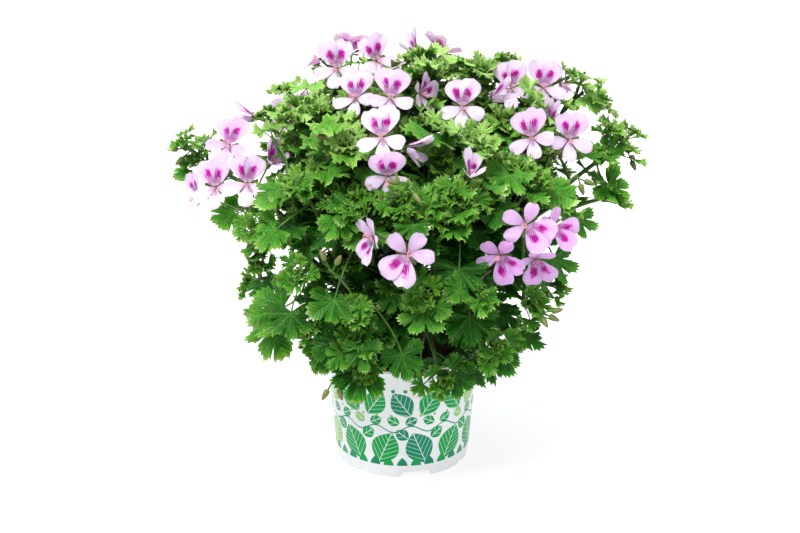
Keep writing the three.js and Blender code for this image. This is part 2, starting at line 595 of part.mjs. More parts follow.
function placeHead(head, headNumber) {
  const hub = vector(head.hub);
  const root = rootFor(stemNamed(head.stem), hub, LEAST_RUN.head, UP);
  place(`stem_${head.stem}`, stalkSolid(root, hub, PEDUNCLE), false);
  head.flowers.forEach((flower, number) => {
    const at = vector(flower.at);
    const face = vector(flower.face).normalize();
    const upright = UP.clone().applyAxisAngle(face, THREE.MathUtils.degToRad(flower.roll));
    const form = flower.closed ? CLOSED_FLOWER : OPEN_FLOWER;
    const bloom = flowerSolid(bladeFrame(at, upright, face), flower.size ?? 1, form);
    place(`bloom_${headNumber + 1}_${number + 1}`, bloom, true);
    const seat = at.clone().addScaledVector(face, -PETAL_THICK - GAP);
    const bend = seat.clone().addScaledVector(face, -SEAT_RUN);
    place(`stem_${head.stem}`, tube(arc(stalkStart(root, hub, number), bend, seat), PEDICEL), false);
  });
}

// A bud and its short stalk, turned as one piece
function budSolid(start, pointing) {
  const { stalk, stalkRadius, length, radius, fattest, sides } = BUD;
  const foot = [[0, 0], [stalkRadius, 0], [stalkRadius, stalk]];
  const bud = turned([...foot, [radius, stalk + fattest], [0, stalk + length]], sides);
  bud.applyQuaternion(new THREE.Quaternion().setFromUnitVectors(new THREE.Vector3(0, 1, 0), pointing));
  return solidOf(bud.translate(...start));
}

function placeBuds(cluster) {
  const hub = vector(cluster.hub);
  const root = rootFor(stemNamed(cluster.stem), hub, LEAST_RUN.bud, UP);
  place(`stem_${cluster.stem}`, stalkSolid(root, hub, PEDICEL), false);
  cluster.buds.forEach((way, number) => {
    const bud = budSolid(stalkStart(root, hub, number), vector(way).normalize());
    place(`stem_${cluster.stem}`, bud, false);
  });
}

function placeChosenLeaf(leaf, number) {
  const site = 9000 + number;
  const tip = vector(leaf.tip).normalize();
  const root = rootFor(stemNamed(leaf.stem), vector(leaf.at), LEAST_RUN.leaf, tip);
  placeLeaf(`stem_${leaf.stem}`, (attempt) => {
    const at = vector(leaf.at).add(nudge(site, attempt, 1, TRY_SHIFT));
    const face = vector(leaf.face).normalize().add(nudge(site, attempt, 4, TRY_TILT));
    return leafFrom(root, at, tip, face, leaf.size, 2 * Math.PI * draw(site, 0, 7));
  });
}

// The way a leaf faces where it is: up on top of the plant, out at its sides
function facing(at, away, site, attempt) {
  const face = at.clone().sub(CROWN_CENTRE).normalize().multiplyScalar(FACING.outward);
  face.addScaledVector(UP, rising(FACING, at.z)).addScaledVector(away, FACING.along);
  return face.add(vector(FACING_WANDER.map((by, i) => by * spread(site, attempt, 11 + i))));
}

function placeRuleLeaf(stem, curve, t, stalk, size, site) {
  const root = curve.getPoint(t);
  const along = curve.getTangent(t);
  const side = new THREE.Vector3().crossVectors(along, SIDEWAYS).normalize();
  const out = root.clone().sub(CROWN_CENTRE).normalize();
  placeLeaf(`stem_${stem.name}`, (attempt) => {
    const turn = GOLDEN_TURN * site + TRY_TURN * attempt * spread(site, attempt, 1);
    const away = side.clone().applyAxisAngle(along, turn);
    away.addScaledVector(along, FORWARD + TRY_LEAN * spread(site, attempt, 2)).normalize();
    away.addScaledVector(out, OUTWARD).normalize();
    const stretch = 1 + TRY_STRETCH * attempt * spread(site, attempt, 3);
    const at = root.clone().addScaledVector(away, stalk * stretch);
    const tip = away.clone().addScaledVector(UP, -rising(DROOP, at.z));
    const shrunk = size * (1 - TRY_SHRINK * attempt);
    return leafFrom(root, at, tip, facing(at, away, site, attempt), shrunk, 2 * Math.PI * draw(site, 0, 7));
  });
}

function placeCrownLeaves(stem) {
  for (let i = 0; i < CROWN_LEAVES; i += 1) {
    const site = 20000 + 20 * STEMS.indexOf(stem) + i;
    const t = mix(...CROWN_PLACES, i / (CROWN_LEAVES - 1));
    const stalk = mix(...CROWN_STALK, draw(site, 0, 20));
    placeRuleLeaf(stem, mainCurve(stem), t, stalk, mix(...CROWN_SIZE, draw(site, 0, 21)), site);
  }
}

function placeShootLeaves(stem) {
  shootCurves(stem).forEach((curve, shoot) => {
    for (let i = 0; i < SHOOT_LEAVES; i += 1) {
      const site = 10000 + 200 * STEMS.indexOf(stem) + 20 * shoot + i;
      const share = i / (SHOOT_LEAVES - 1);
      const t = mix(...SHOOT_PLACES, share);
      placeRuleLeaf(stem, curve, t, mix(...SHOOT_STALK, share), mix(...SHOOT_SIZE, share), site);
    }
  });
}

place('pot', potSolid(), false);
place('peat', peatSolid(), false);
STEMS.forEach(placeStem);
HEADS.forEach(placeHead);
BUD_CLUSTERS.forEach(placeBuds);
CHOSEN_LEAVES.forEach(placeChosenLeaf);
STEMS.forEach(placeCrownLeaves);
STEMS.forEach(placeShootLeaves);

const plant = new THREE.Group();
for (const name of new Set(placed.map(({ node }) => node))) {
  const solids = placed.filter(({ node }) => node === name).map(({ solid }) => solid);
  const [color, roughness, metalness] = LOOKS[name.split('_')[0]];
  const material = new THREE.MeshStandardMaterial({ color, roughness, metalness });
  const mesh = new THREE.Mesh(geometryOf(fuse(solids)), material);
  mesh.name = name;
  plant.add(mesh);
}

export default plant;
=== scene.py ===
# %% [markdown]
# # A potted lemon-scented geranium
#
# The object is a bushy plant in a white nursery pot. Fifteen leafy stems rise out of the peat and fork into
# shoots. Each shoot ends in a tuft of small frilly leaves, and fifteen flower heads stand among them.
# The solids of the pot, the peat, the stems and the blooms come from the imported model. This script keeps
# their places and gives each of them its fine surface, and it fills the bush with the leaves between them.
#
# The plant and the pot are measured in millimetres, and a mesh is scaled to metres when it is made. The
# camera, the lights and the floor are in metres from the start.

import math

import bpy
import numpy as np
from mathutils import Matrix, Vector, noise
from mathutils.bvhtree import BVHTree


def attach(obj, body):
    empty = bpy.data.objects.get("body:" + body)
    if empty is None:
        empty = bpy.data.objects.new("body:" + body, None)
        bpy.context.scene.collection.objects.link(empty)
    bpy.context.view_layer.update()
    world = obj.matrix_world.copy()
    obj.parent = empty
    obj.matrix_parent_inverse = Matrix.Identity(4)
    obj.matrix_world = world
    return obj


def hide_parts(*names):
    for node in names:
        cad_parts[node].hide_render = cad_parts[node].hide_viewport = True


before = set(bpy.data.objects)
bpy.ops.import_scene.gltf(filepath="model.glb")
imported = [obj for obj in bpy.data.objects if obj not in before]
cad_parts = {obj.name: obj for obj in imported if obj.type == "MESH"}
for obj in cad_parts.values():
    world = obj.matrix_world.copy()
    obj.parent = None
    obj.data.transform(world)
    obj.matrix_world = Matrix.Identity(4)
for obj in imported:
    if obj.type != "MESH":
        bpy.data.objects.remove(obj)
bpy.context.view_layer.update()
MM = 0.001
UP = Vector((0, 0, 1))
bpy.ops.object.select_all(action="DESELECT")

# %% [markdown]
# ## Camera
#
# The photograph is taken from in front and a little above, with a normal lens. How far down it looks was
# found from the pot: its rim shows as a flat oval, and the oval's height against its width gives the angle.

# %% Camera
CAMERA_AT = (0, -0.8, 0.389)
LOOK_DOWN, LOOK_LEFT = math.radians(16.7), math.radians(0.13)
FOCAL_LENGTH, SENSOR_WIDTH = 50, 36
bpy.ops.object.camera_add(location=CAMERA_AT, rotation=(math.radians(90) - LOOK_DOWN, 0, LOOK_LEFT))
camera = bpy.context.object
camera.data.lens = FOCAL_LENGTH
camera.data.sensor_width = SENSOR_WIDTH
bpy.context.scene.camera = camera
print("camera", camera.location[:])

# %% [markdown]
# ## Floor and light
#
# The floor is pale and wide enough to fill the picture. The light is an even white surround with a wide
# soft light from the left front and weaker ones from the right and from behind, so that the leaves get
# gentle shadows and light shines through the petals. Lamps with an area could do it too, but their light
# falls off with distance, and the photograph is lit evenly from its top to the floor.

# %% Floor and light
FLOOR_SIZE = 40
LIGHT_HEIGHT = 2
SKY_COLOUR, SKY_STRENGTH = (0.97, 0.985, 1, 1), 0.42
# Each light: the way it shines, its strength, and its softness in degrees
KEY_LIGHT = (0.35, 0.5, -1), 4.5, 28
FILL_LIGHT = (-0.7, 0.9, -0.7), 0.65, 50
BACK_LIGHT = (-0.15, -0.6, -1), 1.2, 50
bpy.ops.mesh.primitive_plane_add(size=FLOOR_SIZE, location=(0, 0, 0))
floor = bpy.context.object
floor.name = "floor"


def soft_sun(name, direction, strength, softness):
    """A wide, even light that shines along a direction."""
    bpy.ops.object.light_add(type="SUN", location=(0, 0, LIGHT_HEIGHT))
    light = bpy.context.object
    light.name = name
    light.data.energy = strength
    light.data.angle = math.radians(softness)
    light.rotation_euler = Vector(direction).to_track_quat("-Z", "Y").to_euler()


soft_sun("key_light", *KEY_LIGHT)
soft_sun("fill_light", *FILL_LIGHT)
soft_sun("back_light", *BACK_LIGHT)
world = bpy.data.worlds.new("surround")
bpy.context.scene.world = world
world.use_nodes = True
sky = world.node_tree.nodes["Background"]
sky.inputs["Color"].default_value = SKY_COLOUR
sky.inputs["Strength"].default_value = SKY_STRENGTH
bpy.context.scene.view_settings.view_transform = "Standard"
bpy.context.scene.view_settings.look = "Medium High Contrast"
print("floor and lights are in place")

# %% [markdown]
# ## Where the stems grow
#
# A plant is made of a few rules and a little chance. It could all be left to the rules, but then it would
# be a plant of the kind and not this one. So the places of the stems, the flower heads, the bud clusters
# and the leaves that stand out are read from the photograph, and all the rest follows from rules. Each stem
# has a foot in the peat, a crown where it forks, and the tips of its three shoots. The front is towards -Y.

# %% Stems
STEMS = [
  dict(name="left_sprig", foot=[-18, 3], crown=[-80, 6, 176],
    tips=[[-150, 2, 229], [-99, 20, 258], [-128, 40, 186]]),
  dict(name="left_front", foot=[-14, -9], crown=[-64, -48, 168],
    tips=[[-99, -88, 204], [-90, -44, 256], [-108, -40, 150]]),
  dict(name="front_left", foot=[-8, -15], crown=[-40, -68, 164],
    tips=[[-66, -100, 232], [-66, -124, 182], [-60, -112, 138]]),
  dict(name="front_low", foot=[-3, -19], crown=[-16, -72, 146],
    tips=[[-27, -116, 222], [-30, -128, 160], [-24, -118, 114]]),
  dict(name="front_middle", foot=[4, -17], crown=[10, -70, 160],
    tips=[[-2, -122, 226], [14, -134, 168], [26, -104, 102]]),
  dict(name="front_right", foot=[9, -12], crown=[36, -62, 168],
    tips=[[36, -116, 228], [50, -126, 172], [60, -108, 126]]),
  dict(name="right_front", foot=[14, -8], crown=[64, -42, 162],
    tips=[[84, -84, 232], [106, -66, 214], [86, -92, 150]]),
  dict(name="right_sprig", foot=[18, 2], crown=[86, -2, 172],
    tips=[[160, -2, 240], [152, -6, 204], [112, -18, 140]]),
  dict(name="back_right", foot=[14, 9], crown=[70, 46, 172],
    tips=[[132, 14, 278], [122, 70, 220], [104, 62, 140]]),
  dict(name="back_near_right", foot=[8, 16], crown=[40, 72, 166],
    tips=[[62, 104, 240], [78, 116, 180], [44, 116, 112]]),
  dict(name="back_middle", foot=[-1, 19], crown=[-4, 76, 160],
    tips=[[4, 122, 228], [-6, 140, 168], [0, 96, 264]]),
  dict(name="back_left", foot=[-12, 14], crown=[-52, 64, 164],
    tips=[[-66, 106, 226], [-100, 92, 176], [-50, 114, 124]]),
  dict(name="top_right", foot=[7, 4], crown=[44, 18, 186],
    tips=[[52, 8, 296], [90, 16, 270], [60, 56, 274]]),
  dict(name="top_left", foot=[-8, 5], crown=[-38, 14, 192],
    tips=[[-58, -36, 270], [-46, 50, 278], [-80, 52, 250]]),
  dict(name="top_front", foot=[2, -5], crown=[4, -22, 190],
    tips=[[18, 2, 290], [30, -76, 264], [-40, -80, 256]]),
]
print(len(STEMS), "stems")

# %% [markdown]
# ## Where the flowers and buds stand
#
# The flowers stand in loose heads of one to five on bare stalks. A head could open evenly round its hub, but
# in the photograph each flower turns to the light in its own way. So each has its place, the way that it
# faces, and its roll round that way. Buds hang in clusters of their own, and each has the way it points.

# %% Flower heads and bud clusters
HEADS = [
  dict(stem="left_front", hub=[-112, -30, 208], flowers=[
    dict(at=[-129, -50, 221], face=[-0.25, -0.9, 0.35], roll=12),
    dict(at=[-105, -64, 227], face=[0.05, -0.95, 0.3], roll=-6),
    dict(at=[-123, -19, 245], face=[-0.2, -0.8, 0.55], roll=-10),
    dict(at=[-92, -36, 236], face=[0.45, -0.7, 0.55], roll=10, size=0.85, closed=True),
    dict(at=[-147, -18, 207], face=[-0.9, -0.4, 0.1], roll=20)]),
  dict(stem="left_sprig", hub=[-92, 6, 250], flowers=[
    dict(at=[-108, 2, 261], face=[-0.95, -0.25, 0.2], roll=0, size=0.85, closed=True)]),
  dict(stem="top_left", hub=[-40, 24, 284], flowers=[
    dict(at=[-47, 4, 296], face=[-0.15, -0.95, 0.3], roll=0),
    dict(at=[-19, 18, 300], face=[0.4, -0.75, 0.45], roll=12),
    dict(at=[-38, 40, 304], face=[0, 0.6, 0.8], roll=0),
    dict(at=[-60, 30, 299], face=[-0.75, 0.2, 0.6], roll=0, size=0.85)]),
  dict(stem="top_front", hub=[-10, -28, 274], flowers=[
    dict(at=[-32, -40, 281], face=[-0.35, -0.75, 0.55], roll=10),
    dict(at=[-8, -54, 283], face=[0.05, -0.85, 0.5], roll=-4),
    dict(at=[12, -33, 283], face=[0.75, -0.5, 0.15], roll=-60, size=0.8),
    dict(at=[-14, -14, 293], face=[-0.1, 0.1, 1], roll=0, size=0.9)]),
  dict(stem="top_front", hub=[-4, -84, 250], flowers=[
    dict(at=[-13, -103, 265], face=[-0.1, -0.9, 0.4], roll=6),
    dict(at=[3, -92, 256], face=[0.85, -0.4, -0.1], roll=-20, closed=True),
    dict(at=[-9, -113, 242], face=[0, -0.95, -0.1], roll=0, size=0.95)]),
  dict(stem="top_right", hub=[22, 34, 290], flowers=[
    dict(at=[9, 33, 305], face=[-0.4, 0.6, 0.6], roll=0, size=0.8, closed=True),
    dict(at=[30, 43, 304], face=[0.45, 0.35, 0.8], roll=0)]),
  dict(stem="top_right", hub=[46, -22, 264], flowers=[
    dict(at=[41, -46, 276], face=[-0.1, -0.92, 0.35], roll=0),
    dict(at=[62, -36, 280], face=[0.7, -0.5, 0.45], roll=-12, size=0.85, closed=True)]),
  dict(stem="top_right", hub=[92, 6, 266], flowers=[
    dict(at=[77, -6, 283], face=[-0.1, -0.92, 0.35], roll=4),
    dict(at=[101, -0.5, 283], face=[0.06, -0.89, 0.45], roll=-6),
    dict(at=[117, 21.5, 280.5], face=[0.76, 0, 0.65], roll=0, size=0.85)]),
  dict(stem="right_front", hub=[102, -34, 240], flowers=[
    dict(at=[87, -58, 257], face=[-0.2, -0.9, 0.35], roll=14),
    dict(at=[115, -38, 252], face=[0.15, -0.93, 0.3], roll=-8),
    dict(at=[104, -27, 264], face=[0, 0.1, 1], roll=0, size=0.75, closed=True)]),
  dict(stem="front_right", hub=[42, -100, 234], flowers=[
    dict(at=[43, -114, 243], face=[0.1, -0.7, 0.7], roll=0, size=0.75, closed=True)]),
  dict(stem="right_front", hub=[78, -98, 208], flowers=[
    dict(at=[62, -122, 193], face=[-0.25, -0.88, -0.3], roll=-140, size=0.95),
    dict(at=[78, -122, 213], face=[-0.05, -0.95, 0], roll=-125, size=0.95),
    dict(at=[97, -106, 207], face=[0.4, -0.85, 0.1], roll=-110, size=0.9),
    dict(at=[86, -110, 187], face=[0.15, -0.85, -0.45], roll=-160, size=0.9)]),
  dict(stem="front_middle", hub=[-2, -122, 200], flowers=[
    dict(at=[3, -144, 200], face=[0.05, -0.96, 0.1], roll=150),
    dict(at=[-18, -134, 208], face=[-0.8, -0.55, 0], roll=160, size=0.85)]),
  dict(stem="back_middle", hub=[8, 108, 236], flowers=[
    dict(at=[-4, 128, 246], face=[-0.2, 0.88, 0.4], roll=8),
    dict(at=[22, 124, 250], face=[0.25, 0.8, 0.5], roll=-8),
    dict(at=[14, 137, 221], face=[0.1, 0.95, 0.1], roll=0, size=0.9)]),
  dict(stem="back_left", hub=[-84, 84, 232], flowers=[
    dict(at=[-96, 102, 241], face=[-0.55, 0.75, 0.35], roll=0),
    dict(at=[-72, 92, 252], face=[0.1, 0.6, 0.8], roll=10)]),
  dict(stem="back_right", hub=[96, 78, 222], flowers=[
    dict(at=[112, 94, 231], face=[0.6, 0.7, 0.35], roll=0),
    dict(at=[88, 92, 240], face=[0.05, 0.7, 0.7], roll=-8, size=0.95)]),
]

BUD_CLUSTERS = [
  dict(stem="left_sprig", hub=[-157, 2, 238], buds=[[-1, -0.1, 0], [-0.8, -0.2, -0.7], [-0.7, 0.5, 0.3]]),
  dict(stem="front_low", hub=[-46, -130, 186], buds=[[-0.4, -0.2, 1], [0.5, -0.4, 1]]),
  dict(stem="front_middle", hub=[4, -124, 240], buds=[[-1, -0.4, 0.2], [0.5, -0.6, -0.5]]),
  dict(stem="right_front", hub=[120, -50, 230],
    buds=[[0.3, -0.4, -0.9], [0.9, -0.2, -0.3], [-0.5, -0.4, -0.5]]),
  dict(stem="right_front", hub=[92, -104, 148], buds=[[1, -0.3, 0.3], [1, -0.3, -0.4], [0.5, -0.8, -0.7]]),
  dict(stem="front_low", hub=[-46, -114, 104], buds=[[-0.5, -0.4, -0.8], [0.3, -0.5, -1]]),
  dict(stem="top_front", hub=[-44, -90, 262], buds=[[-0.7, -0.5, 0.2], [0.2, -0.7, -0.4]]),
  dict(stem="top_right", hub=[66, 14, 298], buds=[[0.8, 0, 0.6], [1, 0.2, -0.1]]),
  dict(stem="top_left", hub=[-2, 14, 292], buds=[[0.6, 0, 1], [-0.3, -0.5, 0.8]]),
  dict(stem="right_sprig", hub=[164, 0, 236], buds=[[0.5, -0.1, -1]]),
  dict(stem="back_near_right", hub=[66, 112, 244], buds=[[0.5, 0.6, 0.6], [-0.4, 0.8, 0.3]]),
  dict(stem="back_left", hub=[-104, 96, 184], buds=[[-0.8, 0.6, -0.2], [-0.3, 0.9, -0.6]]),
]
print(sum(len(head["flowers"]) for head in HEADS), "flowers,", len(BUD_CLUSTERS), "bud clusters")

# %% [markdown]
# ## Tufts and leaves that stand out
#
# Some tufts break the outline of the bush, and some large leaves catch the eye at its front. Left to the
# rules, they would stand elsewhere, so they get their places by name. A tuft that isn't shy may stand
# before a flower, as a few do.

# %% Chosen tufts and leaves
CHOSEN_TUFTS = [
  dict(stem="top_right", tip=[92, -24, 272], scale=1.1, shy=False),
  dict(stem="top_right", tip=[72, -26, 264], scale=0.9, shy=False),
  dict(stem="top_right", tip=[119, 0, 291], scale=0.9),
  dict(stem="top_right", tip=[74, 20, 298], scale=0.8),
  dict(stem="top_left", tip=[-84, 20, 278], scale=0.8),
  dict(stem="back_right", tip=[132, 10, 293], scale=0.75),
  dict(stem="back_right", tip=[146, 12, 272], scale=0.7),
  dict(stem="right_sprig", tip=[149, -4, 253], scale=0.75),
  dict(stem="right_sprig", tip=[167, 2, 250], scale=0.65),
  dict(stem="right_sprig", tip=[145, -8, 236], scale=0.7),
  dict(stem="left_sprig", tip=[-160, 0, 243], scale=0.65),
  dict(stem="left_sprig", tip=[-142, -6, 243], scale=0.7),
  dict(stem="left_front", tip=[-97, -62, 190], scale=0.9),
  dict(stem="left_front", tip=[-98, -60, 168], scale=0.8),
  dict(stem="front_low", tip=[-28, -124, 137], scale=1.15),
  dict(stem="front_left", tip=[-52, -104, 120], scale=0.9),
  dict(stem="front_right", tip=[76, -62, 106], scale=0.85),
  dict(stem="front_right", tip=[82, -66, 122], scale=0.8),
  dict(stem="front_middle", tip=[44, -84, 101], scale=0.9),
  dict(stem="top_front", tip=[-4, -120, 228], scale=0.9, shy=False),
]

# Each leaf: its stem, its place, the way to its tip, the way it faces, its size and its age, which is set
# higher in the darkest few as painted shade
CHOSEN_LEAVES = [
  ("left_front", [-80, -98, 150], [-0.9, -0.1, -0.2], [-0.35, -0.8, 0.5], 27, 0.3),
  ("left_front", [-88, -86, 132], [-0.3, -0.1, -0.95], [-0.5, -0.8, 0.2], 26, 0.35),
  ("front_left", [-72, -108, 142], [0.1, -0.3, -0.95], [-0.2, -0.9, 0.35], 22, 0.52),
  ("left_sprig", [-124, -14, 194], [-0.9, -0.1, -0.3], [-0.3, -0.7, 0.6], 18, 0.52),
  ("left_sprig", [-160, 6, 222], [-0.7, 0.1, -0.7], [-0.5, -0.6, 0.6], 13, 0.52),
  ("right_sprig", [150, -10, 214], [0.7, -0.1, -0.6], [0.2, -0.8, 0.6], 19, 0.52),
  ("right_sprig", [124, -36, 196], [0.2, -0.2, -0.9], [0.4, -0.85, 0.3], 18, 0.52),
  ("right_sprig", [150, -6, 236], [-0.4, -0.1, 0.9], [-0.1, -0.9, 0.4], 15, 0.52),
  ("back_right", [134, 8, 276], [0.85, -0.1, -0.4], [0.3, -0.7, 0.7], 17, 0.52),
  ("front_low", [-28, -114, 112], [-0.1, -0.4, -0.9], [-0.2, -0.85, 0.5], 24, 0.52),
  ("front_low", [0, -118, 124], [0.3, -0.4, -0.85], [0.2, -0.9, 0.4], 18, 0.52),
  ("front_middle", [36, -104, 104], [0.2, -0.2, -0.97], [0.1, -0.95, 0.2], 17, 0.52),
  ("front_right", [66, -104, 120], [0.2, -0.2, -0.97], [0.4, -0.9, 0.3], 18, 0.52),
  ("front_middle", [14, -134, 160], [-0.3, -0.5, -0.8], [0, -0.85, 0.6], 19, 0.52),
  ("front_left", [-42, -121, 216], [0.4, -0.4, -0.8], [-0.1, -0.85, 0.6], 18, 0.52),
  ("left_front", [-78, -92, 228], [-0.3, -0.5, -0.6], [-0.3, -0.6, 0.8], 21, 0.52),
  ("front_left", [-82, -108, 206], [-0.8, -0.4, -0.4], [-0.4, -0.7, 0.6], 18, 0.52),
  ("front_low", [-24, -118, 209], [0.2, -0.4, -0.8], [0, -0.8, 0.6], 18, 0.52),
  ("right_front", [100, -72, 224], [0.7, -0.6, -0.3], [0.2, -0.5, 0.85], 21, 0.52),
  ("right_front", [70, -90, 238], [-0.3, -0.8, -0.4], [0, -0.6, 0.8], 20, 0.52),
  ("top_right", [78, -34, 266], [0.2, -0.8, -0.5], [0.1, -0.6, 0.8], 18, 0.52),
  ("front_right", [44, -112, 148], [0.1, -0.4, -0.9], [0.1, -0.9, 0.4], 21, 0.85),
  ("front_right", [36, -122, 184], [-0.1, -0.4, -0.9], [0, -0.9, 0.5], 22, 0.9),
  ("front_low", [-38, -128, 170], [-0.2, -0.4, -0.9], [-0.2, -0.85, 0.5], 20, 0.52),
  ("right_front", [104, -70, 176], [0.5, -0.4, -0.8], [0.6, -0.75, 0.3], 22, 0.52),
]

print(len(CHOSEN_TUFTS), "tufts and", len(CHOSEN_LEAVES), "leaves are chosen")

# %% [markdown]
# ## Chance that repeats
#
# No two leaves of a real plant are alike, so every leaf gets its own small changes. A random generator
# could give them, but one more leaf would then change all the leaves after it. So chance is worked out from
# three whole numbers: the place, the try and the use. The same three always give the same answer.

# %% Repeatable numbers
WORD = 0xFFFFFFFF
FIRST, SPREADER, MIXER = 2166136261, 16777619, 1540483477


def draw(place, attempt, use):
    """A number from 0 to 1."""
    value = FIRST
    for key in (place, attempt, use):
        value = ((value ^ key) * SPREADER) & WORD
        value ^= value >> 13
        value = (value * MIXER) & WORD
        value ^= value >> 15
    return value / (WORD + 1)


def spread(place, attempt, use):
    """A number from -1 to 1."""
    return 2 * draw(place, attempt, use) - 1


def nudge(place, attempt, use, reach):
    """A shift that grows with each try."""
    return Vector([spread(place, attempt, use + i) for i in range(3)]) * (attempt * reach)


def mix(start, end, share):
    return start + (end - start) * share


print("draw", round(draw(1, 2, 3), 4))

# %% [markdown]
# ## Stems and shoots as curves
#
# A main stem stands upright in the peat and then leans out to its crown. Three shoots leave it near the
# crown and rise before they lean out to their tips. They could be drawn as curve objects, but leaves have to
# find their places along them. So each is a bent line with three handles, the same that carries the solids.

# %% Curves of the stems
PEAT_TOP = 75
FOOT_DEPTH = 24
BEND_HEIGHT = 34
SHOOT_START = 0.72
SHOOT_RISE = 0.16


def along(curve, t):
    start, bend, end = curve
    return start * (1 - t) ** 2 + bend * (2 * t * (1 - t)) + end * t**2


def heading(curve, t):
    start, bend, end = curve
    return ((bend - start) * (1 - t) + (end - bend) * t).normalized()


def main_curve(stem):
    x, y = stem["foot"]
    foot = Vector((x, y, PEAT_TOP - FOOT_DEPTH))
    return foot, Vector((x, y, PEAT_TOP + BEND_HEIGHT)), Vector(stem["crown"])


def rising_curve(start, end, rise):
    return start, start.lerp(end, 0.5) + UP * (rise * (end - start).length), end


def shoot_curves(stem):
    starts = [along(main_curve(stem), mix(1, SHOOT_START, i / 3)) for i in range(3)]
    return [rising_curve(start, Vector(tip), SHOOT_RISE) for start, tip in zip(starts, stem["tips"])]


MAINS = [main_curve(stem) for stem in STEMS]
SHOOTS = [shoot_curves(stem) for stem in STEMS]
NUMBER = {stem["name"]: i for i, stem in enumerate(STEMS)}
print("shoots", sum(len(curves) for curves in SHOOTS))

# %% [markdown]
# ## Gathering copies into one piece
#
# A stem carries a hundred leaves and more. Each could be an object that is copied and joined at the end, but
# thousands of joins are slow. So each shape is modelled once and then laid down again and again, bent and
# turned a little differently, and all the copies of one finish on one stem become one mesh. Two numbers are
# kept for every corner, because the materials read them: `tint` says how old or how red it is, and on leaves
# it also carries painted shade and painted light, and on petals some painted shade, and `side` tells the
# upper face of a leaf from the lower one, and a bud from a stalk.

# %% A gatherer for copies
SHARP_FROM = math.radians(64)


class Gather:
    def __init__(self):
        self.points, self.faces, self.uv, self.tint, self.side = [], [], [], [], []
        self.count = 0

    def add(self, points, faces, tint, side=0.0, uv=None):
        size = len(points)
        self.points.append(points)
        self.faces.extend((part + self.count).tolist() for part in faces)
        self.tint.append(np.broadcast_to(tint, size))
        self.side.append(np.broadcast_to(side, size))
        self.uv.append(np.zeros((size, 2)) if uv is None else uv)
        self.count += size

    def make(self, name, material, slot, nodes):
        mesh = bpy.data.meshes.new(name)
        points = np.concatenate(self.points) * MM
        mesh.from_pydata(points.tolist(), [], [face for part in self.faces for face in part])
        for title, parts in (("tint", self.tint), ("side", self.side)):
            mesh.attributes.new(title, "FLOAT", "POINT").data.foreach_set("value", np.concatenate(parts))
        corners = np.zeros(len(mesh.loops), np.int32)
        mesh.loops.foreach_get("vertex_index", corners)
        mesh.uv_layers.new(name="UVMap").data.foreach_set("uv", np.concatenate(self.uv)[corners].ravel())
        mesh.polygons.foreach_set("use_smooth", np.ones(len(mesh.polygons), bool))
        mesh.set_sharp_from_angle(angle=SHARP_FROM)
        mesh.materials.append(material)
        return settle(bpy.data.objects.new(name, mesh), nodes)


def settle(piece, nodes):
    """Links a finished piece, and says what it rides on and stands for."""
    if not piece.users_collection:
        bpy.context.scene.collection.objects.link(piece)
    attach(piece, "root")
    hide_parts(*nodes)
    return piece


LEAVES = [Gather() for _ in STEMS]
STALKS = [Gather() for _ in STEMS]
print("gatherers", len(LEAVES) + len(STALKS))

# %% [markdown]
# ## Stalks
#
# Every stalk is a round rod along its curve, thinner towards its tip, with closed ends. A curve with a
# bevel could give it, but each would then be a piece of its own until it is turned into a mesh. So rings
# of corners are carried along the curve, without twisting, and joined. Old stems are brown near the peat.

# %% Rods along curves
SIDEWAYS = np.array([0.31, 0.17, 0.93])


def rod(curve, radii, sides, steps):
    """Points and faces of a closed rod. The radii are spaced evenly from its start to its end."""
    t = np.linspace(0, 1, steps + 1)
    start, bend, end = (np.array(handle) for handle in curve)
    share = t[:, None]
    line = start * (1 - share) ** 2 + bend * 2 * share * (1 - share) + end * share**2
    ways = (bend - start) * (1 - share) + (end - bend) * share
    return swept(line, ways, np.interp(t, np.linspace(0, 1, len(radii)), radii), sides)


def swept(line, ways, radii, sides):
    turn = np.arange(sides) * 2 * math.pi / sides
    side = np.cross(ways[0], SIDEWAYS)
    rings = []
    for centre, way, radius in zip(line, ways, radii):
        way = way / np.linalg.norm(way)
        side = side - way * (side @ way)
        side = side / np.linalg.norm(side)
        over = np.cross(way, side)
        rings.append(centre + radius * (np.cos(turn)[:, None] * side + np.sin(turn)[:, None] * over))
    points = np.concatenate([*rings, line[:1], line[-1:]])
    here = np.arange(sides)
    following = (here + 1) % sides
    first = (np.arange(len(line) - 1) * sides)[:, None]
    walls = np.stack([first + here, first + following, first + sides + following, first + sides + here], -1)
    low, high = len(points) - 2, len(points) - 1
    last = (len(line) - 1) * sides
    ends = [np.stack([np.full(sides, low), following, here], -1),
            np.stack([np.full(sides, high), last + here, last + following], -1)]
    return points, [walls.reshape(-1, 4), *ends]


# Each kind: radii from its start to its end, sides and steps
MAIN_ROD = (3.1, 3.0, 2.6, 2.2), 10, 14
SHOOT_ROD = (2.0, 1.7, 1.3), 8, 10
WOODY, SOFT, SHOOT_TINT = 0.9, 0.35, 0.25
SOFT_ABOVE = 90
for number, stalks in enumerate(STALKS):
    points, faces = rod(MAINS[number], *MAIN_ROD)
    height = np.clip((points[:, 2] - PEAT_TOP) / SOFT_ABOVE, 0, 1)
    stalks.add(points, faces, mix(WOODY, SOFT, height))
    for curve in SHOOTS[number]:
        stalks.add(*rod(curve, *SHOOT_ROD), SHOOT_TINT)
print("stem corners", sum(stalks.count for stalks in STALKS))

# %% [markdown]
# ## The form of the bush
#
# The bush is a mound that is widest above its middle, and it bulges more to the upper right than to the
# left. A ball would be the simplest form, but it would miss the photograph's outline. So a few rows from the
# rim of the pot to the top give its radius at each height to both sides. Leaves keep out of the way of the
# flowers: by rule, nothing stands close before a petal.

# %% Mound
FLOWERS = [(Vector(flower["at"]), Vector(flower["face"]).normalized())
           for head in HEADS for flower in head["flowers"]]
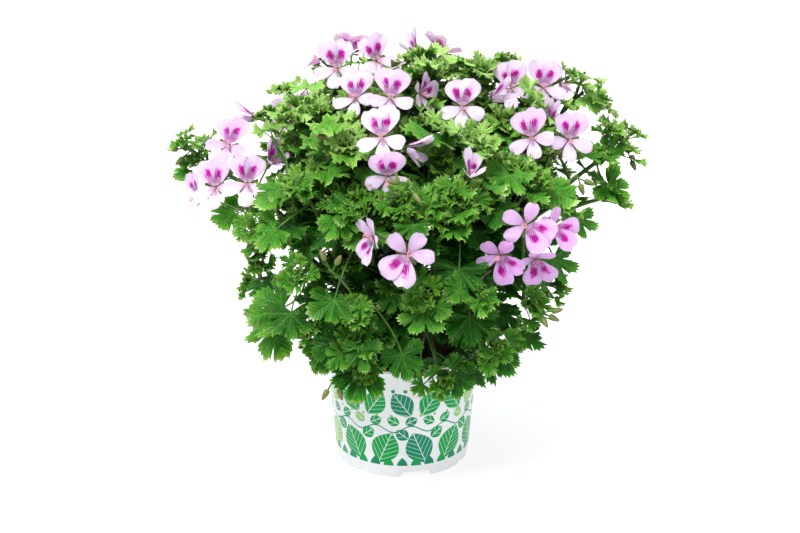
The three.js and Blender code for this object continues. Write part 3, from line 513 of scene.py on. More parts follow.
# Each row: height, radius to the left, to the right, and to the front and the back
MOUND = np.array([
    (88, 80, 62, 66), (110, 88, 70, 92), (150, 82, 76, 112), (190, 86, 86, 124), (230, 88, 112, 124),
    (262, 88, 122, 110), (285, 76, 108, 84), (298, 52, 66, 56), (306, 12, 12, 12),
], float)
# What hides a flower: how far ahead of it, behind it and beside it, and the part of a leaf's size added
CLEAR_AHEAD, CLEAR_BEHIND, CLEAR_BESIDE = 34, (2, 0.3), (15, 0.55)
# Where on a main stem and on a shoot a new side shoot may start
MAIN_ROOTS, SHOOT_ROOTS = (0.7, 0.85, 1), (0.3, 0.5, 0.7, 0.85)
CLIMB_COST = 0.6
GOLDEN_TURN = math.radians(137.5)
CROWN_CENTRE = Vector((0, 0, 150))
MOUND_MIDDLE = 140
FAR_AWAY = 1000
RIM_RADIUS = 60
LOWEST_LEAF = 88


def mound_point(share, turn, depth):
    """A point on the mound. `share` runs up its outline, and `depth` is 1 on the outside."""
    heights, left, right, ahead = MOUND.T
    run = np.concatenate([[0], np.cumsum(np.hypot(np.diff(heights), np.diff(ahead)))])
    z = np.interp(share * run[-1], run, heights)
    x = math.cos(turn) * np.interp(z, heights, right if math.cos(turn) > 0 else left)
    y = math.sin(turn) * np.interp(z, heights, ahead)
    return Vector((x * depth, y * depth, mix(MOUND_MIDDLE, z, depth)))


def share_out(point):
    """How far out a place is, seen from above: 0 in the middle and 1 on the mound."""
    heights, left, right, ahead = MOUND.T
    wide = np.interp(point.z, heights, right if point.x > 0 else left)
    return math.hypot(point.x / wide, point.y / np.interp(point.z, heights, ahead))


def inwardness(point):
    """How deep a place is in the mound: 0 outside and 1 at its middle."""
    heights = MOUND[:, 0]
    flat = share_out(point)
    high = max(0, point.z - CROWN_CENTRE.z) / (heights[-1] - CROWN_CENTRE.z)
    return min(1, max(0, 1 - (flat**4 + high**4) ** 0.25))


def hides_flower(point, size):
    for at, face in FLOWERS:
        ahead = (point - at).dot(face)
        beside = ((point - at) - face * ahead).length
        behind, aside = (least + part * size for least, part in (CLEAR_BEHIND, CLEAR_BESIDE))
        if -behind < ahead < CLEAR_AHEAD and beside < aside:
            return True
    return False


def nearest_shoot(point, least):
    """The stem's number and the point on one of its shoots or its upper half that is nearest."""
    best, lowest = None, math.inf
    for number, shoots in enumerate(SHOOTS):
        roots = [along(MAINS[number], t) for t in MAIN_ROOTS]
        roots += [along(curve, t) for curve in shoots for t in SHOOT_ROOTS]
        for root in roots:
            far = (root - point).length
            cost = FAR_AWAY if far < least else far + CLIMB_COST * max(0, root.z - point.z)
            if cost < lowest:
                best, lowest = (number, root), cost
    return best


print("top of the mound", MOUND[-1, 0])

# %% [markdown]
# ## Shapes as numbers
#
# Leaves, petals, sepals and buds all start as a ball that Blender makes. To bend thousands of copies, each
# in its own way, moving objects would take too long. So a shape is kept as a list of numbers for each
# corner, such as how far out it lies, with the faces that join the corners, and the object itself is deleted.

# %% Shapes kept as numbers
class Sheet:
    """A modelled shape as plain numbers for each corner, with its faces."""

    def __init__(self, piece, **values):
        self.values = values
        polygons = piece.data.polygons
        sizes = sorted({len(face.vertices) for face in polygons})
        self.faces = [np.array([face.vertices[:] for face in polygons if len(face.vertices) == size])
                      for size in sizes]
        bpy.data.objects.remove(piece)

    def __getattr__(self, name):
        return self.values[name]


def corners_of(piece):
    values = np.zeros(len(piece.data.vertices) * 3, np.float32)
    piece.data.vertices.foreach_get("co", values)
    return values.reshape(-1, 3).astype(float)


def ball(segments, rings):
    bpy.ops.mesh.primitive_uv_sphere_add(segments=segments, ring_count=rings, radius=1)
    return bpy.context.object, corners_of(bpy.context.object)


print("shapes can be kept as numbers")

# %% [markdown]
# ## One leaf blade
#
# A geranium's leaf is a fan: veins run out from its heart, and its rim is cut into lobes and coarse teeth.
# It could be drawn as an outline and filled, but then it would have no ribs to fold along. So it starts as
# a ball that is pressed flat. The ball's equator becomes the rim, with a tooth and a notch in turn, and its
# poles become the middles of the two faces. The blade is thick in the middle and ends in a thin edge, as a
# leaf does. The corner behind the heart folds in, where the stalk comes to the blade. A small leaf has
# fewer teeth, and so it gets by with fewer faces.

# %% Rim and blade
HEART = 0.05
MIDWAY = 0.56
LONGEST_TOOTH = 0.48
TOOTH_SWING, TOOTH_FOLD = 0.02, 0.8
HEART_CORNER = (10, 0.42)
ON_RIM, ON_MIDDLE, ON_FACE = 0.85, 0.35, 0.1


def half_rim(lobes, sinus, bite, fall):
    """Half of a rim from the tip round to the heart, as [degrees, reach, fold].

    Each lobe is its first and last degree, its teeth and its reach. `sinus` is the reach between lobes,
    `bite` the depth of a notch, and `fall` how much the teeth shorten towards the ends of a lobe.
    """
    rim = []
    for number, (first, last, teeth, reach) in enumerate(lobes):
        if rim:
            rim.append([(rim[-1][0] + first) / 2, sinus[number - 1], 1.0])
        middle = first if number == 0 else mix(first, last, LONGEST_TOOTH)
        for i, degrees in enumerate(np.linspace(first, last, teeth)):
            part = abs(degrees - middle) / (last - middle)
            tip = reach * (1 - fall * part**2) * (1 + TOOTH_SWING * math.sin(5 * degrees))
            if i:
                notch = (rim[-1][1] + tip) / 2 * (1 - bite)
                rim.append([mix(rim[-1][0], degrees, 0.5), notch, part * TOOTH_FOLD])
            rim.append([degrees, tip, part * TOOTH_FOLD])
    rim.append([rim[-1][0] + HEART_CORNER[0], HEART_CORNER[1], 1.0])
    return rim


def leaf_sheet(lobes, sinus, bite, fall):
    half = half_rim(lobes, sinus, bite, fall)
    other = [[-degrees, reach, fold] for degrees, reach, fold in half[:0:-1]]
    rim = np.array([*half, [180, HEART, 0.0], *other])
    piece, place = ball(len(rim), 4)
    far = np.hypot(place[:, 0], place[:, 1])
    turn = np.arctan2(place[:, 1], place[:, 0])
    index = np.round(turn / (2 * math.pi) * len(rim)).astype(int) % len(rim)
    share = np.where(far > ON_RIM, 1.0, np.where(far > ON_MIDDLE, MIDWAY, 0.0))
    degrees, reach, fold = rim[index].T
    layer = np.where(place[:, 2] > ON_FACE, 0.0, np.where(place[:, 2] < -ON_FACE, 1.0, 0.5))
    return Sheet(piece, angle=np.radians(degrees), reach=reach * share, fold=fold * share, layer=layer)


print("a blade is ready to be pressed")

# %% [markdown]
# ## Kinds of blade
#
# The large old leaves at the foot of the bush are cut to half of their depth and have many teeth. Young ones
# are cut deeper and coarser, like parsley. One blade could serve for all of them at different sizes, but
# the difference shows at a glance. So there are four kinds, most of them in two or three forms.

# %% Kinds of blade
OLD_SHEETS = [
    leaf_sheet([(0, 20, 4, 1.0), (29, 69, 6, 0.97), (78, 122, 6, 0.9)], (0.46, 0.42), 0.1, 0.17),
    leaf_sheet([(0, 21, 4, 1.0), (30, 70, 6, 0.94), (79, 123, 5, 0.92)], (0.42, 0.4), 0.11, 0.19),
    leaf_sheet([(0, 19, 4, 0.99), (28, 67, 6, 1.0), (77, 121, 5, 0.87)], (0.5, 0.45), 0.1, 0.16),
]
GROWN_SHEETS = [
    leaf_sheet([(0, 21, 3, 1.0), (29, 70, 5, 0.97), (78, 118, 4, 0.88)], (0.4, 0.37), 0.13, 0.12),
    leaf_sheet([(0, 20, 3, 1.0), (28, 68, 5, 0.99), (76, 118, 4, 0.9)], (0.44, 0.4), 0.12, 0.12),
    leaf_sheet([(0, 22, 4, 1.0), (31, 70, 4, 0.95), (79, 120, 4, 0.9)], (0.37, 0.35), 0.13, 0.12),
]
YOUNG_SHEETS = [
    leaf_sheet([(0, 18, 3, 1.0), (29, 67, 4, 0.97), (79, 117, 4, 0.92)], (0.34, 0.32), 0.17, 0.08),
    leaf_sheet([(0, 19, 3, 1.0), (31, 69, 4, 0.93), (81, 119, 3, 0.9)], (0.3, 0.3), 0.18, 0.08),
]
FIRST_SHEETS = [
    leaf_sheet([(0, 19, 2, 1.0), (32, 68, 3, 0.95), (82, 112, 2, 0.9)], (0.36, 0.34), 0.17, 0.08),
]
# Each row: the least size of a leaf, and the sheets that it may have
SHEETS_FROM = ((16, OLD_SHEETS), (11, GROWN_SHEETS), (7, YOUNG_SHEETS), (0, FIRST_SHEETS))
print("faces of a blade", [sum(map(len, sheets[0].faces)) for _, sheets in SHEETS_FROM])

# %% [markdown]
# ## Laying a leaf
#
# Each leaf gets its own bend. A cup lifts the whole rim, five waves lift and lower the lobes, folds crease
# the blade between its ribs, and small crinkles roughen the edge. The size sets the form: a large leaf is
# flat, and a small one is deeply cupped and creased. A leaf's age sets its colour, from 0 for the youngest to
# 1 for the oldest. Painted shade is added to the same value, so that leaves are darker low down and deep in
# the bush, where shade falls, and painted light makes them paler at its top.

# %% Leaf on its stalk
CUP, YOUNG_CUP, FRILL = 0.16, 0.16, 0.17
FRILL_WAVES, CRINKLE_WAVES = 5, 13
# Each pair: in a full-grown leaf, and in a young one
CRINKLE, RUFFLE, FOLD = (0.08, 0.19), (0.18, 0.23), (0.14, 0.4)
FULL_GROWN, GROWTH = 17, 10
WARP_TURN, WARP_REACH = 0.12, 0.08
BLADE_THICK, THICK_FROM = 0.55, 16
AGE_SPREAD = 0.12
# Painted shade for leaves low down and deep in the bush, and painted light for those at its top
LOW_SHADE_FROM, LOW_SHADE, HIGH_LIGHT = 230, 0.5, 1.8
INNER_SHADE, INNER_SHADE_LOW, INNER_FROM = 0.9, 7, 0.06
PALEST, DARKEST = -0.5, 2
SMALL_LEAF = 12.5
OUTER = np.array([(-183, -160, 2), (183, 158, 329)], float)
ARRIVAL = 0.45
STALK_TINT = 0.2
# Each row: sizes over this, and the stalk's radius at the blade and at its foot
STALK_RADII = ((16, 0.6, 0.85), (-1, 0.42, 0.55))
# Each row: lengths over this, and the stalk's sides and steps
STALK_FACES = ((25, 6, 7), (9, 5, 5), (-1, 4, 3))


def first_over(rows, value):
    return next(rest for least, *rest in rows if value > least)


def blade_frame(at, tip, face):
    z = face.normalized()
    x = (tip - z * tip.dot(z)).normalized()
    return at, x, z.cross(x), z


def rim_height(angle, reach, phase, cup, frill):
    return reach**2 * (cup + frill * np.cos(FRILL_WAVES * angle + phase))


def leaf_shade(at, size, age_and_shade, place):
    """The tint of a leaf: its age, plus painted shade low and deep in the bush, less painted light at its
    top.
    """
    low = max(0, LOW_SHADE_FROM - at.z) / (LOW_SHADE_FROM - LOWEST_LEAF)
    painted_light = HIGH_LIGHT * max(0, at.z - LOW_SHADE_FROM) / 100
    painted_deep_shade = (INNER_SHADE + INNER_SHADE_LOW * low) * max(0, inwardness(at) - INNER_FROM)
    shade = age_and_shade + AGE_SPREAD * spread(place, 1, 32) - painted_light + painted_deep_shade
    return np.clip(shade + LOW_SHADE * low * min(1, size / SMALL_LEAF) ** 3, PALEST, DARKEST)


def lay_leaf(number, root, at, tip, face, size, phase, age_and_shade, place):
    """A blade and its stalk, on the stem of that number. `place` is a whole number for its chance."""
    sheets = next(sheets for least, sheets in SHEETS_FROM if size >= least)
    sheet = sheets[int(draw(place, 1, 31) * len(sheets))]
    origin, x, y, z = (np.array(part) for part in blade_frame(at, tip, face))
    young = min(1, max(0, (FULL_GROWN - size) / GROWTH))
    crinkle = mix(*CRINKLE, young) * np.cos(CRINKLE_WAVES * sheet.angle + 3 * phase)
    height = rim_height(sheet.angle, sheet.reach, phase, CUP + YOUNG_CUP * young**2, mix(*RUFFLE, young))
    height = height + crinkle * sheet.reach**3 - mix(*FOLD, young) * sheet.fold * sheet.reach
    angle = sheet.angle + WARP_TURN * np.sin(2 * sheet.angle + 5 * phase)
    reach = sheet.reach * (1 + WARP_REACH * np.cos(3 * sheet.angle + 7 * phase))
    across = np.cos(angle) * reach
    beside = np.sin(angle) * reach
    thick = BLADE_THICK * min(1, size / THICK_FROM)
    points = (origin + size * (across[:, None] * x + beside[:, None] * y)
              + (size * height - thick * sheet.layer)[:, None] * z)
    if np.any(points < OUTER[0]) or np.any(points > OUTER[1]):
        return
    flat = 0.5 + 0.5 * np.stack([across, beside], 1)
    LEAVES[number].add(points, sheet.faces, leaf_shade(at, size, age_and_shade, place), sheet.layer, flat)
    far = (root - at).length
    bend = at - Vector(x) * (ARRIVAL * far) - Vector(z)
    thin, stout = first_over(STALK_RADII, size)
    curve = root, bend, at - Vector(z) * thick
    STALKS[number].add(*rod(curve, (stout, thin, thin), *first_over(STALK_FACES, far)), STALK_TINT * age_and_shade)


print("leaves are laid one at a time")

# %% [markdown]
# ## The leaves that the solids have
#
# The model carries a few large solid leaves on each stem. Their places follow rules too, and a leaf that
# touched another was tried again a little elsewhere. The rules are written again here, with the same
# numbers, so that a fine blade can lie where the solid one does. A leaf leaves its shoot with the golden
# angle, droops low down, and turns its face out and up.

# %% Rules for a large leaf
TRIES = 14
TRY_SHIFT, TRY_TILT, TRY_TURN, TRY_LEAN, TRY_STRETCH, TRY_SHRINK = 0.6, 0.03, 0.55, 0.25, 0.04, 0.02
CROWN_LEAVES, CROWN_PLACES, CROWN_STALK, CROWN_SIZE = 2, (0.7, 0.98), (38, 54), (19, 23)
SHOOT_LEAVES, SHOOT_PLACES, SHOOT_STALK, SHOOT_SIZE = 2, (0.5, 0.98), (22, 7), (17, 10.5)
FORWARD, OUTWARD = 0.55, 0.45
DROOP = (0.85, 0.25, 100, 150)
FACING = (0.35, 0.9, 110, 150)
FACE_OUT, FACE_ALONG = 0.7, 0.15
FACING_WANDER = (0.28, 0.28, 0.2)
ROOT_PLACES = (0.15, 0.3, 0.45, 0.6, 0.75, 0.9)
HEAD_RUN, BUD_RUN, LEAF_RUN = 14, 8, 16
AHEAD_COST = 1.6
TIP_ANGLES = {"large": (0, 43, -43), "medium": (0, 50, -50), "small": (0, 55, -55)}
TIP_REACH = {"large": (1, 0.98, 0.98), "medium": (1, 0.97, 0.97), "small": (1, 0.97, 0.97)}
LARGE_FROM, MEDIUM_FROM = 22, 17.5
ON_SOLID, TIPS_NEEDED = 0.12, 2
CROWN_AGE, SHOOT_AGES = 0.9, (0.8, 0.45)
CHOSEN_SITES, SHOOT_SITES, CROWN_SITES = 9000, 10000, 20000


def rising(rule, z):
    low, high, start, over = rule
    return mix(low, high, min(1, max(0, (z - start) / over)))


def root_for(number, to, least, ahead):
    """The place on a stem's shoots that a stalk leaves from: near, and on the side that it comes from."""
    best, lowest = None, math.inf
    for curve in SHOOTS[number]:
        for t in ROOT_PLACES:
            point = along(curve, t)
            far = (point - to).length
            cost = far * (AHEAD_COST + (point - to).normalized().dot(ahead))
            if far < least:
                cost = FAR_AWAY - far
            if cost < lowest:
                best, lowest = point, cost
    return best


def chosen_leaf(number, at, tip, face, size, site, attempt):
    tip = Vector(tip).normalized()
    root = root_for(number, Vector(at), LEAF_RUN, tip)
    at = Vector(at) + nudge(site, attempt, 1, TRY_SHIFT)
    face = Vector(face).normalized() + nudge(site, attempt, 4, TRY_TILT)
    return root, at, tip, face, size


def rule_leaf(curve, t, stalk, size, site, attempt):
    root, way = along(curve, t), heading(curve, t)
    turn = GOLDEN_TURN * site + TRY_TURN * attempt * spread(site, attempt, 1)
    away = Matrix.Rotation(turn, 3, way) @ way.cross(Vector(SIDEWAYS)).normalized()
    away = (away + way * (FORWARD + TRY_LEAN * spread(site, attempt, 2))).normalized()
    away = (away + (root - CROWN_CENTRE).normalized() * OUTWARD).normalized()
    at = root + away * (stalk * (1 + TRY_STRETCH * attempt * spread(site, attempt, 3)))
    face = (at - CROWN_CENTRE).normalized() * FACE_OUT + UP * rising(FACING, at.z) + away * FACE_ALONG
    face += Vector([by * spread(site, attempt, 11 + i) for i, by in enumerate(FACING_WANDER)])
    return root, at, away - UP * rising(DROOP, at.z), face, size * (1 - TRY_SHRINK * attempt)


print("tries for a leaf", TRIES)

# %% [markdown]
# ## The leaves of the solids, found again
#
# Which of its tries a solid leaf took isn't written down in the model. It could be guessed as the first, but
# some would then hang beside their solid. So each try is held against the solid of its stem: it is the
# right one if the tips of two of its lobes lie on that solid. The fine blade and its stalk go there.

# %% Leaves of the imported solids
def lies_on(tree, at, tip, face, size, phase):
    """True if the tips of the solid leaf would lie on the solid of the stem."""
    kind = "large" if size >= LARGE_FROM else "medium" if size >= MEDIUM_FROM else "small"
    origin, x, y, z = blade_frame(at, tip, face)
    hits = 0
    for degrees, reach in zip(TIP_ANGLES[kind], TIP_REACH[kind]):
        turn = math.radians(degrees)
        height = rim_height(turn, reach, phase, CUP, FRILL)
        point = origin + (x * (math.cos(turn) * reach) + y * (math.sin(turn) * reach) + z * height) * size
        hits += tree.find_nearest(point * MM)[3] < ON_SOLID * MM
    return hits >= TIPS_NEEDED


SCENE_NOW = bpy.context.evaluated_depsgraph_get()
TREES = [BVHTree.FromObject(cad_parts[f"stem_{stem['name']}"], SCENE_NOW) for stem in STEMS]
PLANS = []
for i, (stem, at, tip, face, size, age_and_shade) in enumerate(CHOSEN_LEAVES):
    PLANS.append((NUMBER[stem], CHOSEN_SITES + i, age_and_shade, chosen_leaf, (NUMBER[stem], at, tip, face, size)))
for number, shoots in enumerate(SHOOTS):
    for i in range(CROWN_LEAVES):
        site = CROWN_SITES + 20 * number + i
        stalk, size = mix(*CROWN_STALK, draw(site, 0, 20)), mix(*CROWN_SIZE, draw(site, 0, 21))
        where = MAINS[number], mix(*CROWN_PLACES, i / (CROWN_LEAVES - 1))
        PLANS.append((number, site, CROWN_AGE, rule_leaf, (*where, stalk, size)))
    for shoot, curve in enumerate(shoots):
        for i in range(SHOOT_LEAVES):
            site = SHOOT_SITES + 200 * number + 20 * shoot + i
            share = i / (SHOOT_LEAVES - 1)
            values = curve, mix(*SHOOT_PLACES, share), mix(*SHOOT_STALK, share), mix(*SHOOT_SIZE, share)
            PLANS.append((number, site, mix(*SHOOT_AGES, share), rule_leaf, values))
laid = 0
for number, site, age_and_shade, rule, values in PLANS:
    phase = 2 * math.pi * draw(site, 0, 7)
    for attempt in range(TRIES):
        root, at, tip, face, size = rule(*values, site, attempt)
        if lies_on(TREES[number], at, tip, face, size, phase):
            lay_leaf(number, root, at, tip, face, size, phase, age_and_shade, site)
            laid += 1
            break
print("solid leaves", len(PLANS), "found and laid", laid)

# %% [markdown]
# ## One petal
#
# A petal is a soft tongue: narrow where it starts, wide and rounded near its end. A flat sheet could be
# bent and given a thickness, but its rim would be blunt. So it is a pressed ball too, stretched along one
# way, and its rim is thin and smooth all round. Two broad petals stand up and three narrow ones hang. The
# height of each point over the flower's middle follows the form of the solid bloom.

# %% Petals and sepals
THROAT_REACH, THROAT_HEIGHT, THROAT_FLAT = 9, 2.6, 6
LOWER_ARCH = 0.12
# How wide a flower opens, and how far its petals arch forwards
OPEN_FLOWER, CLOSED_FLOWER = (1, 0.2), (0.62, 0.95)
PETAL_FOOT = 0.8
PETAL_SUNK, PETAL_THICK, SEPAL_SUNK, SEPAL_THICK = 0.1, 0.3, 1.0, 0.35
PETAL_BEND, PETAL_TURN, PETAL_GROWTH = 0.2, 6, 0.06
RIPPLE, RIPPLES, DENT, DENT_WIDTH = 0.6, 7, 0.7, 0.3
CURL, CURL_BACK, WAVE, WAVES_ACROSS, WAVES_ALONG = 0.9, 0.3, 0.8, 3.4, 5
ANY_WAVE = 6
STAMENS, STAMEN_LEAN, STAMEN_HANG, STAMEN_SIZE = 7, 0.16, 0.3, (6, 2.5)
STAMEN_ROD = (0.2, 0.16, 0.2, 0.4), 4, 4
LOWER, UPPER, STAMEN = 0.0, 1.0, 2.0
# Each petal: degrees from upright, length, width and twist
UPPER_PETALS = [(23, 19.9, 15.4, 0.12), (-23, 19.9, 15.4, 0.12)]
LOWER_PETALS = [(113, 16.6, 10.3, 0.07), (-113, 16.6, 10.3, 0.07), (180, 17.1, 10.6, 0.05)]
SEPALS = [(degrees, 8.2, 2.6, 0) for degrees in (0, 72, 144, 216, 288)]


def tongue(segments, rings):
    """A flat tongue with `ahead` from 0 at its foot to 1 at its end, and `beside` from -1 to 1."""
    piece, place = ball(segments, rings)
    # Rounding can put the foot a hair before 0, and a power of that isn't a number
    ahead = np.maximum(0, (place[:, 0] + 1) / 2)
    layer = 0.5 - 0.5 * place[:, 2]
    return Sheet(piece, ahead=ahead, beside=place[:, 1] * (0.2 + ahead**0.7) * 1.08, layer=layer)


PETAL = tongue(20, 6)
SEPAL = tongue(8, 4)


def flower_height(angle, reach, arch):
    lower = 0.5 - 0.5 * np.cos(angle)
    throat = THROAT_HEIGHT * np.minimum(1, reach / THROAT_REACH)
    return throat + np.maximum(0, reach - THROAT_FLAT) * (arch + LOWER_ARCH * lower)


print("faces of a petal", sum(map(len, PETAL.faces)))

# %% [markdown]
# ## One flower
#
# Five petals, five sepals and seven stamens make a flower. It could be modelled once and copied whole, but
# the petals of real flowers are turned, rippled and curled each on its own. So each petal is bent by
# itself, and its points stay on the form of the solid bloom under it. The stamens are thin rods.

# %% Flower
def petal_points(spot, shape, petal, width, arch, sunk, thick, place):
    degrees, length, wide, twist = petal
    origin, x, y, z = (np.array(part) for part in spot)
    turn = math.radians(degrees + PETAL_TURN * spread(place, 2, 1))
    length *= 1 + PETAL_GROWTH * spread(place, 2, 2)
    ahead = PETAL_FOOT + (length - PETAL_FOOT) * shape.ahead
    wavy = RIPPLE * np.sin(RIPPLES * shape.beside + ANY_WAVE * draw(place, 2, 5))
    wavy = wavy - DENT * np.exp(-(shape.beside / DENT_WIDTH) ** 2)
    ahead = ahead + wavy * shape.ahead**6
    beside = wide / 2 * shape.beside
    one = ahead * math.cos(turn) - beside * math.sin(turn)
    two = ahead * math.sin(turn) + beside * math.cos(turn)
    height = flower_height(np.arctan2(two, one), np.hypot(one, two), arch) - sunk + twist * beside
    curl = (CURL * spread(place, 2, 3) - CURL_BACK) * shape.beside**2 * shape.ahead
    run = WAVES_ACROSS * shape.beside + WAVES_ALONG * shape.ahead + ANY_WAVE * draw(place, 2, 4)
    curl = curl + WAVE * np.sin(run) * shape.ahead**2
    height = height + curl - thick * shape.layer
    return origin + width * (one[:, None] * x + two[:, None] * y) + height[:, None] * z


def add_flower(petals, stalks, flower, at, face, pink, place):
    upright = Matrix.Rotation(math.radians(flower["roll"]), 3, face) @ UP
    spot = blade_frame(at, upright, face)
    width, arch = CLOSED_FLOWER if flower.get("closed") else OPEN_FLOWER
    wide = width * flower.get("size", 1)
    for i, petal in enumerate(UPPER_PETALS + LOWER_PETALS):
        site = 10 * place + i
        bend = arch + PETAL_BEND * spread(site, 2, 6)
        points = petal_points(spot, PETAL, petal, wide, bend, PETAL_SUNK, PETAL_THICK, site)
        kind = UPPER if i < len(UPPER_PETALS) else LOWER
        petals.add(points, PETAL.faces, pink, kind, np.stack([PETAL.beside, PETAL.ahead], 1))
    for i, petal in enumerate(SEPALS):
        points = petal_points(spot, SEPAL, petal, width, arch, SEPAL_SUNK, SEPAL_THICK, 10 * place + i)
        stalks.add(points, SEPAL.faces, 0.15 + 0.5 * SEPAL.ahead)
    for i in range(STAMENS):
        lean = Matrix.Rotation(2 * math.pi * i / STAMENS + place, 3, face) @ upright
        way = face + lean * (STAMEN_LEAN + STAMEN_LEAN * draw(place, 3, i)) - upright * STAMEN_HANG
        start = at + face * PETAL_THICK
        end = start + way.normalized() * (STAMEN_SIZE[0] + STAMEN_SIZE[1] * draw(place, 4, i))
        petals.add(*rod((start, start.lerp(end, 0.5), end), *STAMEN_ROD), 1.0, STAMEN)


print("parts of a flower", len(UPPER_PETALS + LOWER_PETALS), len(SEPALS), STAMENS)

# %% [markdown]
# ## Flower heads and buds
#
# Each head stands on a bare stalk that leaves a shoot. At its end, short stalks fan out, one to each flower,
# with a few drooping buds among them. A bud is a spindle with five ribs: its green sepals are still shut.
# It could be spun from a section, but the ribs are easier on a ball, whose points know their angle. Heads
# in the shade below are a deeper pink than those in the light, and that deeper pink is partly painted shade.

# %% Stalks and buds of a head
STALK_RISE, BUD_RISE = 5, 0.6
PEDICEL_STEP = 2.6
SOLID_THICK, SEAT_GAP, SEAT_SUNK, SEAT_RUN = 1.05, 0.35, 0.6, 7
HEAD_ROD, HEAD_TINT = ((1.35, 1.15, 1.3), 8, 10), 0.12
FLOWER_ROD, FLOWER_TINT = ((0.65, 0.6, 0.75, 1.25), 6, 8), 0.3
CLUSTER_ROD, CLUSTER_TINT = ((0.9, 0.75, 0.9), 6, 6), 0.15
BUD_ROD = (0.45, 0.5, 0.7), 5, 3
BUD_STALK, BUD_LENGTH, BUD_RADIUS, BUD_RIBS = 7, 8, 2, 5
BUDS_IN_HEAD, SMALL_BUDS, OPENING_TINT, SHUT_TINT = 4, (0.45, 0.75), 0.15, 0.1
# How pink a head is, where the photograph shows it deeper than the rest
# A deeper pink for heads low in shade, partly painted shade
PINK_AND_SHADED_HEADS = {0: 0.75, 7: 0.6, 8: 0.6, 10: 1.0, 11: 0.8}
PALE_HEAD, PINK_SPREAD = 0.42, 0.25
piece, corners = ball(10, 8)
x, y, z = corners.T
BUD = Sheet(piece, ahead=(1 - z) / 2, turn=np.arctan2(y, x), round=np.hypot(x, y))


def add_bud(stalks, start, way, scale, tint, place):
    """A hanging stalk and a bud at its end."""
    way = way.normalized()
    foot = start + way * (BUD_STALK * scale)
    stalks.add(*rod((start, start.lerp(foot, 0.5) + UP * BUD_RISE, foot), *BUD_ROD), tint * 0.5)
    side = way.cross(Vector(SIDEWAYS)).normalized()
    x, y, z = np.array(side), np.array(way.cross(side)), np.array(way)
    swell = (1 - BUD.ahead) ** 0.55 * BUD.ahead**0.18 * 1.55
    ribs = np.cos(BUD_RIBS * BUD.turn)
    radius = BUD_RADIUS * scale * swell * np.minimum(1, BUD.round * 3) * (1 + 0.16 * ribs)
    turned = np.cos(BUD.turn)[:, None] * x + np.sin(BUD.turn)[:, None] * y
    points = np.array(foot) + radius[:, None] * turned + (BUD_LENGTH * scale * BUD.ahead)[:, None] * z
    shade = tint + (0.2 + 0.5 * draw(place, 5, 1)) * BUD.ahead**2 + 0.15 * ribs
    stalks.add(points, [part[:, ::-1] for part in BUD.faces], shade, 1.0)


def add_head_stalk(number, hub, run, stalk, tint):
    """The bare stalk up to a hub. It gives the way back along the stalk."""
    root = root_for(number, hub, run, UP)
    STALKS[number].add(*rod((root, root.lerp(hub, 0.5) + UP * STALK_RISE, hub), *stalk), tint)
    return (root - hub).normalized()


print("faces of a bud", sum(map(len, BUD.faces)))

# %% [markdown]
# ## Setting the flowers and buds
#
# Each head's petals become one mesh, which stands for the solid blooms of that head. Its stalks, calyces and
# buds go to the mesh of the stem that carries it, because they grow from it. A flower's own stalk could run
# straight to it, but a real one comes up from behind and bends into the flower's seat.

# %% Flowers and buds in place
BLOOMS = []
for head_number, head in enumerate(HEADS):
    number, hub, petals = NUMBER[head["stem"]], Vector(head["hub"]), Gather()
    back = add_head_stalk(number, hub, HEAD_RUN, HEAD_ROD, HEAD_TINT)
    for i, flower in enumerate(head["flowers"]):
        place = 100 * head_number + i
        at, face = Vector(flower["at"]), Vector(flower["face"]).normalized()
        pink = PINK_AND_SHADED_HEADS.get(head_number, PALE_HEAD) + PINK_SPREAD * spread(place, 6, 1)
        add_flower(petals, STALKS[number], flower, at, face, pink, place)
        seat = at - face * (SOLID_THICK + SEAT_GAP - SEAT_SUNK)
        curve = hub + back * (PEDICEL_STEP * i), seat - face * SEAT_RUN, seat
        STALKS[number].add(*rod(curve, *FLOWER_ROD), FLOWER_TINT)
    for i in range(BUDS_IN_HEAD):
        place = 5000 + 100 * head_number + i
        way = Vector((spread(place, 7, 1), spread(place, 7, 2), -0.25 + 0.5 * spread(place, 7, 3)))
        way += (hub - CROWN_CENTRE).normalized()
        add_bud(STALKS[number], hub, way, mix(*SMALL_BUDS, draw(place, 7, 4)), OPENING_TINT, place)
    BLOOMS.append(petals)
for cluster_number, cluster in enumerate(BUD_CLUSTERS):
    number, hub = NUMBER[cluster["stem"]], Vector(cluster["hub"])
    back = add_head_stalk(number, hub, BUD_RUN, CLUSTER_ROD, CLUSTER_TINT)
    for i, way in enumerate(cluster["buds"]):
        place = 7000 + 10 * cluster_number + i
        add_bud(STALKS[number], hub + back * (PEDICEL_STEP * i), Vector(way), 1, SHUT_TINT, place)
print("flowers", len(FLOWERS))

# %% [markdown]
# ## Tufts of young leaves
#
# The whole outside of the bush is tufts. At the end of each shoot the youngest leaves stand close round the
# bud, upright, small and bright. Each next leaf is turned by the golden angle, and is larger, darker and
# more spread. A tuft could be modelled once and copied, but the same tuft two hundred times would show. So
# one rule with some chance gives the tufts at the tips of the solids and the many between them.

# %% Tufts
TUFT_LEAVES = 9
# Each pair: in the youngest leaf of a tuft, and in its oldest
TUFT_LIFT, TUFT_SIZE, TUFT_REACH = (78, 8), (4.8, 11.4), (1.5, 12)
LIFT_SPREAD, SIZE_SPREAD, REACH_SPREAD = 16, 0.15, 0.22
LEAN_SPREAD, NOD_SPREAD = 0.45, 0.35
ANY_TURN = 6.28
SPARSE_FROM, SPARSE_SCALE = 1.15, 0.8


